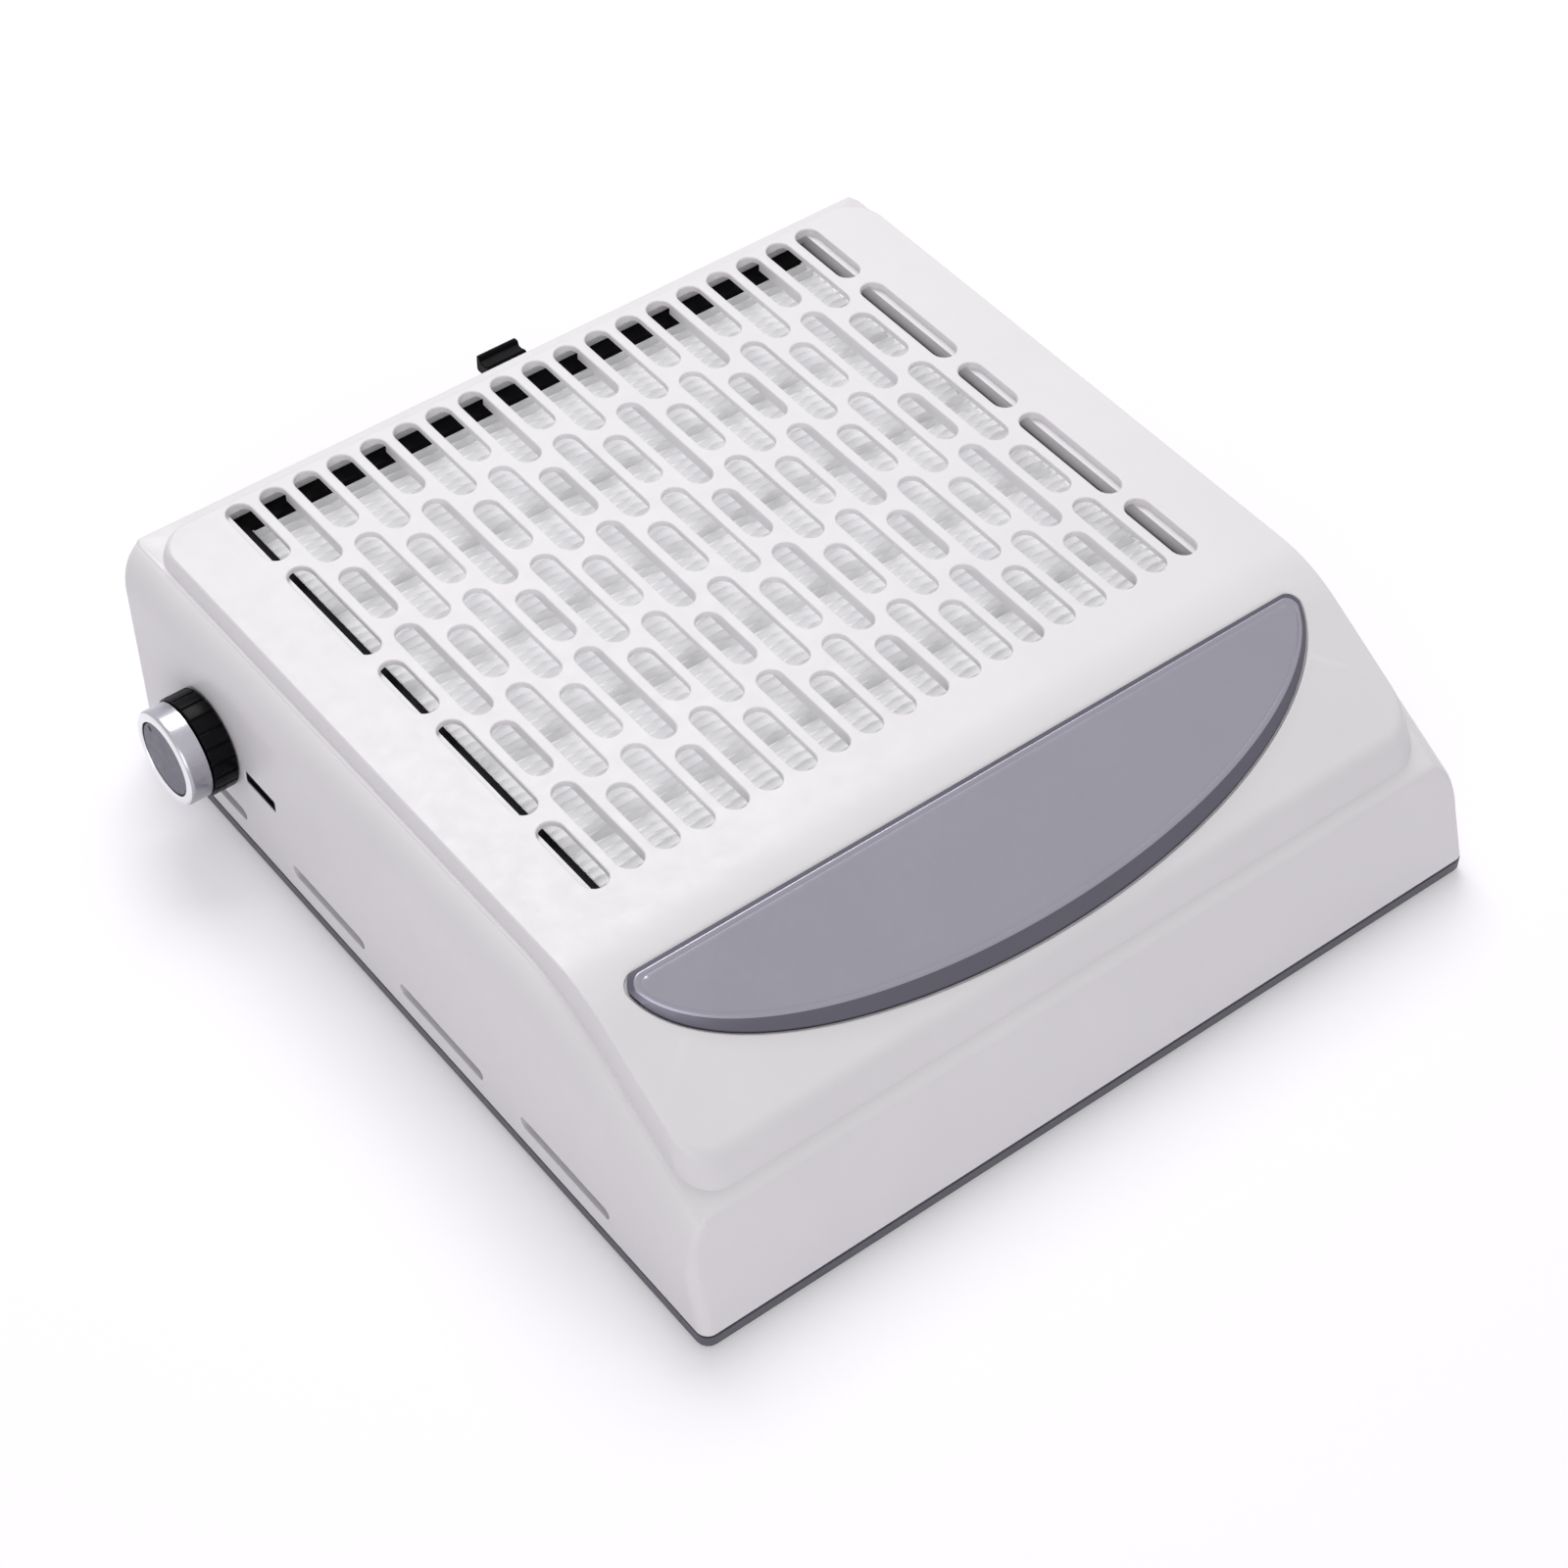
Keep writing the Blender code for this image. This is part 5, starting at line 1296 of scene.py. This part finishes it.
    def build_edges(self, look: Look) -> Piece:
        """Builds and dresses the glued strips that close the pleats' ends.

        Args:
            look: Its material.

        Returns:
            The piece.
        """
        (front, rear), (half, low) = self.span(), self.paper_room()
        form, high = Form(), low + self.media_height - self.glue_drop
        for side in (-1, 1):
            ends = sorted((side * (half - self.glue), side * half))
            form.prism([(front, low), (rear, low), (rear, high), (front, high)], *ends, along=Axis.X)
        return dress(smooth(form.make("paper_edges", look)), "filter")


@dataclass
class Knob:
    """Speed knob: grooved black grip, aluminium cap and the sunk face with its pointer."""

    place: Flat = (35.6, 31.0)
    grip_radius: float = 13.5
    grip_front: float = 7.26
    core_radius: float = 9.2
    cap_radius: float = 13.0
    cap_edge: float = 1.3
    reach: float = 13.9
    grooves: int = 20
    groove_width: float = 0.8
    groove_depth: float = 0.45
    face_radius: float = 9.9
    face_thick: float = 1.2
    face_recess: float = 0.4
    nut_room: float = 9.5
    web: float = 1.8
    bore: float = 3.3
    pointer_place: float = 8.4
    pointer_radius: float = 0.9
    steps: int = 96

    def __post_init__(self) -> None:
        """Works out where the knob is, from its own frame, its axis along Z, to the world."""
        self.wall = BODY.wall_x(self.place[1])
        self.back = BODY.wall_x(self.place[1] - self.grip_radius) + CLEAR - self.wall
        self.front = self.reach - self.face_recess
        self.core_front = self.front - self.face_thick - CLEAR
        self.spot = (self.pointer_place * sqrt(0.5),) * 2
        centre = Vector((-self.wall, BODY.rear - self.place[0], self.place[1]))
        self.matrix = BODY_PLACE @ Matrix.Translation(centre) @ Matrix.Rotation(-pi / 2, 4, "Y")

    def build_grip(self, look: Look) -> Piece:
        """Builds and dresses the grip.

        Args:
            look: Its material.

        Returns:
            The piece.
        """
        back, front, radius, end = self.back, self.grip_front, self.grip_radius, self.core_front
        profile = [(self.nut_room, back), (radius - 0.3, back), (radius, back + 0.3), (radius, front - 0.4)]
        profile += [(radius - 0.12, front - 0.12), (radius - 0.4, front), (self.core_radius, front)]
        profile += [(self.core_radius, end), (0.6, end), (0.6, end - 0.6), (self.bore, end - 0.6)]
        profile += [(self.bore, front - self.web), (self.nut_room, front - self.web)]
        grip = Form().lathe(profile, self.steps).make("knob_skirt", look, place=self.matrix)
        half = self.groove_width / 2
        outline = [(radius + 0.6, -half - 0.3), (radius + 0.6, half + 0.3), (radius, half)]
        outline += [(radius - self.groove_depth * sin(a), half * cos(a)) for a in (pi * k / 4 for k in (1, 2, 3))]
        groove = Form().prism(outline + [(radius, -half)], back - 0.6, front + 0.6)
        ring = Repeat(self.grooves, turn=(0.0, 0.0, 2 * pi / self.grooves))
        tool = Form().include(ring.of(groove, look)).carry(BODY_PLACE.inverted() @ self.matrix)
        combine(grip, tool, Join.CUT)
        return dress(smooth(grip), "knob", "knob_grip")

    def build_cap(self, look: Look, rim_look: Look) -> Piece:
        """Builds and dresses the aluminium cap.

        Args:
            look: Material of its side.
            rim_look: Material of its polished rim, a brighter copy of the aluminium whose colour is a painted
                highlight.

        Returns:
            The piece.
        """
        low, front, radius, soft = self.grip_front + CLEAR, self.reach, self.cap_radius, self.cap_edge
        inner, mouth = self.core_radius + CLEAR, self.face_radius + CLEAR
        profile = [(inner, low), (radius - 0.25, low), (radius, low + 0.25)]
        turns = (pi / 2 * k / 8 for k in range(9))
        profile += [(radius - soft * (1 - cos(a)), front - soft * (1 - sin(a))) for a in turns]
        profile += [(mouth + 0.5, front), (mouth + 0.15, front - 0.12), (mouth, front - 0.4)]
        profile += [(mouth, self.core_front), (inner, self.core_front)]
        # The rim's faces take the brighter copy of the aluminium: real polish, with a painted highlight in its colour.
        form = Form().lathe(profile, self.steps).mark(7 * self.steps, 14 * self.steps)
        cap = form.make("knob_ring", look, rim_look, place=self.matrix)
        return dress(smooth(cap, 40.0), "knob", "knob_cap")

    def build_face(self, look: Look) -> Piece:
        """Builds and dresses the face disc with the dent of its pointer.

        Args:
            look: Its material.

        Returns:
            The piece.
        """
        front, radius, dot = self.front, self.face_radius, self.pointer_radius
        levels = [(radius, front - self.face_thick), (radius, front - 0.2), (radius - 0.06, front - 0.06)]
        levels += [(radius - 0.2, front), (radius * 0.66, front), (radius * 0.33, front)]
        face = Form().lathe(levels, self.steps, cap=Cap.FLAT).make("knob_disc", look, place=self.matrix)
        levels = [(0.25, front - 0.5), (dot * 0.8, front - 0.35), (dot, front), (dot + 0.1, front + 0.1)]
        dent = Form().lathe(levels, 24, self.spot, Cap.FLAT).carry(BODY_PLACE.inverted() @ self.matrix)
        combine(face, dent, Join.CUT)
        return dress(smooth(face, 40.0), "knob", "knob_face")

    def build_pointer(self, look: Look) -> Piece:
        """Builds and dresses the painted dot in the pointer's dent.

        Args:
            look: Its material.

        Returns:
            The piece.
        """
        steps = ((0.85, -0.3), (0.95, 0.0), (0.85, 0.05), (0.5, 0.07))
        levels = [(share * self.pointer_radius, self.front + rise) for share, rise in steps]
        form = Form().lathe(levels, 24, self.spot, Cap.FLAT)
        dot = smooth(form.make("knob_pointer", look, place=self.matrix), 50.0)
        return dress(dot, "knob")


class Studio:
    """Floor, soft lights, white surround and the camera."""

    def seen(self, graph: Graph) -> Socket:
        """One where the camera, a reflection or a clear piece looks, else nought.

        Args:
            graph: Nodes that it goes among.

        Returns:
            The value socket.
        """
        path = graph.add("LightPath").outputs
        total = path["Is Camera Ray"]
        for name in ("Is Glossy Ray", "Is Transmission Ray"):
            total = graph.add("Math", total, path[name], operation="MAXIMUM").outputs[0]
        return total

    def surround(self) -> None:
        """Pale surround that lights the object evenly and shows white behind it."""
        world = bpy.data.worlds.new("surround")
        bpy.context.scene.world = world
        world.use_nodes = True
        world.node_tree.nodes.clear()
        graph = Graph(world.node_tree)
        light = graph.add("Background", Color=(1.0, 0.985, 1.0, 1.0), Strength=0.46).outputs[0]
        white = graph.add("Background", Color=(1.0, 1.0, 1.0, 1.0), Strength=1.0).outputs[0]
        graph.add("OutputWorld", Surface=graph.add("MixShader", self.seen(graph), light, white).outputs[0])

    def floor(self) -> None:
        """Plain pale floor that keeps the object's shadow."""
        form = Form()
        corners = [(x, y, -0.02) for x, y in ((-4e3, -4e3), (4e3, -4e3), (4e3, 4e3), (-4e3, 4e3))]
        form.mesh.faces.new([form.mesh.verts.new(corner) for corner in corners])
        look = bpy.data.materials.new("floor_pale")
        look.use_nodes = True
        look.node_tree.nodes.clear()
        graph = Graph(look.node_tree)
        matt = graph.add("BsdfDiffuse", Color=(0.85, 0.835, 0.88, 1.0)).outputs[0]
        strength = graph.add("Math", self.seen(graph), 0.25, operation="MULTIPLY").outputs[0]
        lift = graph.add("Emission", Color=(1.0, 1.0, 0.98, 1.0), Strength=strength).outputs[0]
        graph.add("OutputMaterial", Surface=graph.add("AddShader", matt, lift).outputs[0])
        form.make("floor", look)

    def lamp(self, name: str, place: Point, aim: Point, size: float, power: float, color: Color) -> None:
        """Adds a soft square lamp.

        Args:
            name: Its name.
            place: Where it hangs.
            aim: What it points at.
            size: Length of its side.
            power: Its power in watts.
            color: Its colour.
        """
        data = bpy.data.lights.new(name, "AREA")
        data.size, data.energy, data.color = size, power, color
        lamp = add_object(name, data)
        lamp.location = place
        lamp.rotation_euler = (Vector(aim) - Vector(place)).to_track_quat("-Z", "Y").to_euler()

    def camera(self) -> None:
        """Camera where the photograph was taken from."""
        data = bpy.data.cameras.new("view")
        data.lens, data.sensor_width, data.clip_start, data.clip_end = 82.4415, 36.0, 0.05, 20.0
        azimuth, down, roll = (radians(a) for a in (38.797, 47.529, 1.191))
        place = Vector((-390.993, -480.567, 683.696)) * MM + SHIFT
        turn = Euler((pi / 2 - down, 0.0, -azimuth), "XYZ").to_matrix() @ Matrix.Rotation(roll, 3, "Z")
        camera = add_object("view", data)
        camera.matrix_world = Matrix.Translation(place) @ turn.to_4x4()
        bpy.context.scene.camera = camera

    def build(self) -> None:
        """Builds the whole stage."""
        self.surround()
        self.floor()
        self.lamp("key", (0.4, 0.85, 1.5), (0.0, 0.0, 0.0), 0.9, 15.0, (1.0, 0.99, 0.985))
        self.lamp("fill", (-1.0, -1.3, 0.75), (0.0, 0.0, 0.03), 1.2, 7.6, (1.0, 0.98, 1.0))
        self.camera()
        bpy.context.scene.view_settings.view_transform = "Standard"


def make_looks(centre: Point) -> dict[str, Look]:
    """Materials of all the pieces.

    Args:
        centre: World point that the turned lines go round.

    Returns:
        Materials by name.
    """
    # Places of the bands of painted shade on the paper and of the paper's rear end.
    paper_places = ((BODY.fan_y + 4.5) * MM + SHIFT.y, BODY.grille_rear * MM + SHIFT.y)
    finishes = (
        Plastic("white_moulding", (0.81, 0.795, 0.815), 0.4, glow=0.06),
        Plastic("grey_base", (0.1, 0.1, 0.12), 0.5, clouding=0.04),
        Metal("satin_pad", (0.32, 0.31, 0.365), 0.34, pitch=0.0003, metallic=0.85),
        Plastic("black_cage", (0.005, 0.005, 0.006), 0.5, clouding=0.1, specular=0.06),
        Paper("pleated_paper", (0.87, 0.87, 0.88), *paper_places),
        Plastic("white_deck", (0.72, 0.72, 0.74), 0.5, clouding=0.03),
        Plastic("grey_wheel", (0.19, 0.19, 0.2), 0.48, clouding=0.05),
        Plastic("black_rubber", (0.028, 0.028, 0.03), 0.82, clouding=0.15, grain_depth=0.00004, specular=0.3),
        Metal("zinc_screw", (0.62, 0.62, 0.63), 0.34, gloss_spread=0.1, tint=0.08),
        Metal("plain_steel", (0.6, 0.6, 0.61), 0.28, gloss_spread=0.09, tint=0.06),
        Plastic("black_socket", (0.006, 0.006, 0.007), 0.5, clouding=0.1, specular=0.06),
        Metal("yellow_brass", (0.72, 0.53, 0.22), 0.3, tint=0.06),
        CircuitBoard("green_board"),
        Plastic("blue_case", (0.04, 0.11, 0.3), 0.45, clouding=0.06),
        Plastic("dark_sleeve", (0.03, 0.03, 0.07), 0.3, clouding=0.08),
        Plastic("cream_plug", (0.74, 0.7, 0.6), 0.5, clouding=0.05),
        Plastic("black_grip", (0.004, 0.004, 0.005), 0.26, clouding=0.12, grain_depth=0.00002, specular=0.07),
        Metal("grey_disc", (0.115, 0.112, 0.145), 0.4, lay=Lay.TURNED, centre=centre, metallic=0.8),
        Metal("turned_aluminium", (0.44, 0.435, 0.48), 0.24, lay=Lay.TURNED, centre=centre, depth=0.000003),
        # Brighter copy of the cap's aluminium for its polished rim: painted highlight.
        Metal("polished_rim", (0.8, 0.8, 0.82), 0.2, lay=Lay.TURNED, centre=centre, depth=0.000002),
        # Darker copy of the pad's metal for its side: painted shade.
        Metal("dark_rim", (0.12, 0.117, 0.145), 0.36, pitch=0.0003, metallic=0.85),
        Plastic("red_lead", (0.45, 0.02, 0.02), 0.42, clouding=0.08),
        Plastic("black_lead", (0.015, 0.015, 0.015), 0.42, clouding=0.1),
    )
    return {finish.name: finish.make() for finish in finishes}


def numbered(name: str, count: int) -> list[str]:
    """Names of pieces that are counted from one."""
    return [f"{name}_{k + 1}" for k in range(count)]


CARRIED = {
    "white_deck": ["filter_deck"],
    "grey_wheel": ["impeller"],
    "black_rubber": [*numbered("rubber_foot", 4), "motor_damper"],
    "zinc_screw": [*numbered("base_screw", 4), *numbered("deck_screw", 4), *numbered("motor_screw", 2)],
    "plain_steel": ["motor_shaft", "motor_can", "motor_bearing", "potentiometer_nut"],
    "black_socket": ["power_inlet", "motor_end_cap", "transistor"],
    "yellow_brass": ["impeller_nut", "potentiometer_bush"],
    "green_board": ["control_board"],
    "blue_case": ["potentiometer_body"],
    "dark_sleeve": numbered("capacitor", 2),
    "cream_plug": ["lead_connector"],
    "turned_aluminium": ["knob_shaft", "heat_sink"],
    "red_lead": ["motor_lead_1"],
    "black_lead": ["motor_lead_2"],
    "grey_base": ["base_plate"],
}


def dress_carried(looks: dict[str, Look]) -> None:
    """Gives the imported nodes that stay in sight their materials.

    Args:
        looks: Materials by name.
    """
    for look, names in CARRIED.items():
        for name in names:
            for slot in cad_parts[name].material_slots:
                slot.material = looks[look]
            LOG.info("dressed %s in %s", name, look)


def main() -> None:
    """Builds every piece in order and reports each one."""
    logging.basicConfig(level=logging.INFO, format="%(message)s")
    Studio().build()
    shell, cartridge, knob = Shell(), Cartridge(), Knob()
    looks = make_looks(tuple(knob.matrix.translation))
    pieces = (
        shell.build(looks["white_moulding"]),
        shell.pad.build(looks["satin_pad"], looks["dark_rim"]),
        cartridge.build_frame(looks["black_cage"]),
        cartridge.build_paper(looks["pleated_paper"]),
        cartridge.build_edges(looks["pleated_paper"]),
        knob.build_grip(looks["black_grip"]),
        knob.build_cap(looks["turned_aluminium"], looks["polished_rim"]),
        knob.build_face(looks["grey_disc"]),
        knob.build_pointer(looks["black_grip"]),
        shell.build_port_nose_and_shade(looks["black_socket"]),
    )
    for piece in pieces:
        LOG.info("built %s: %d faces", piece.name, len(piece.data.polygons))
    dress_carried(looks)


if __name__ == "__main__":
    main()
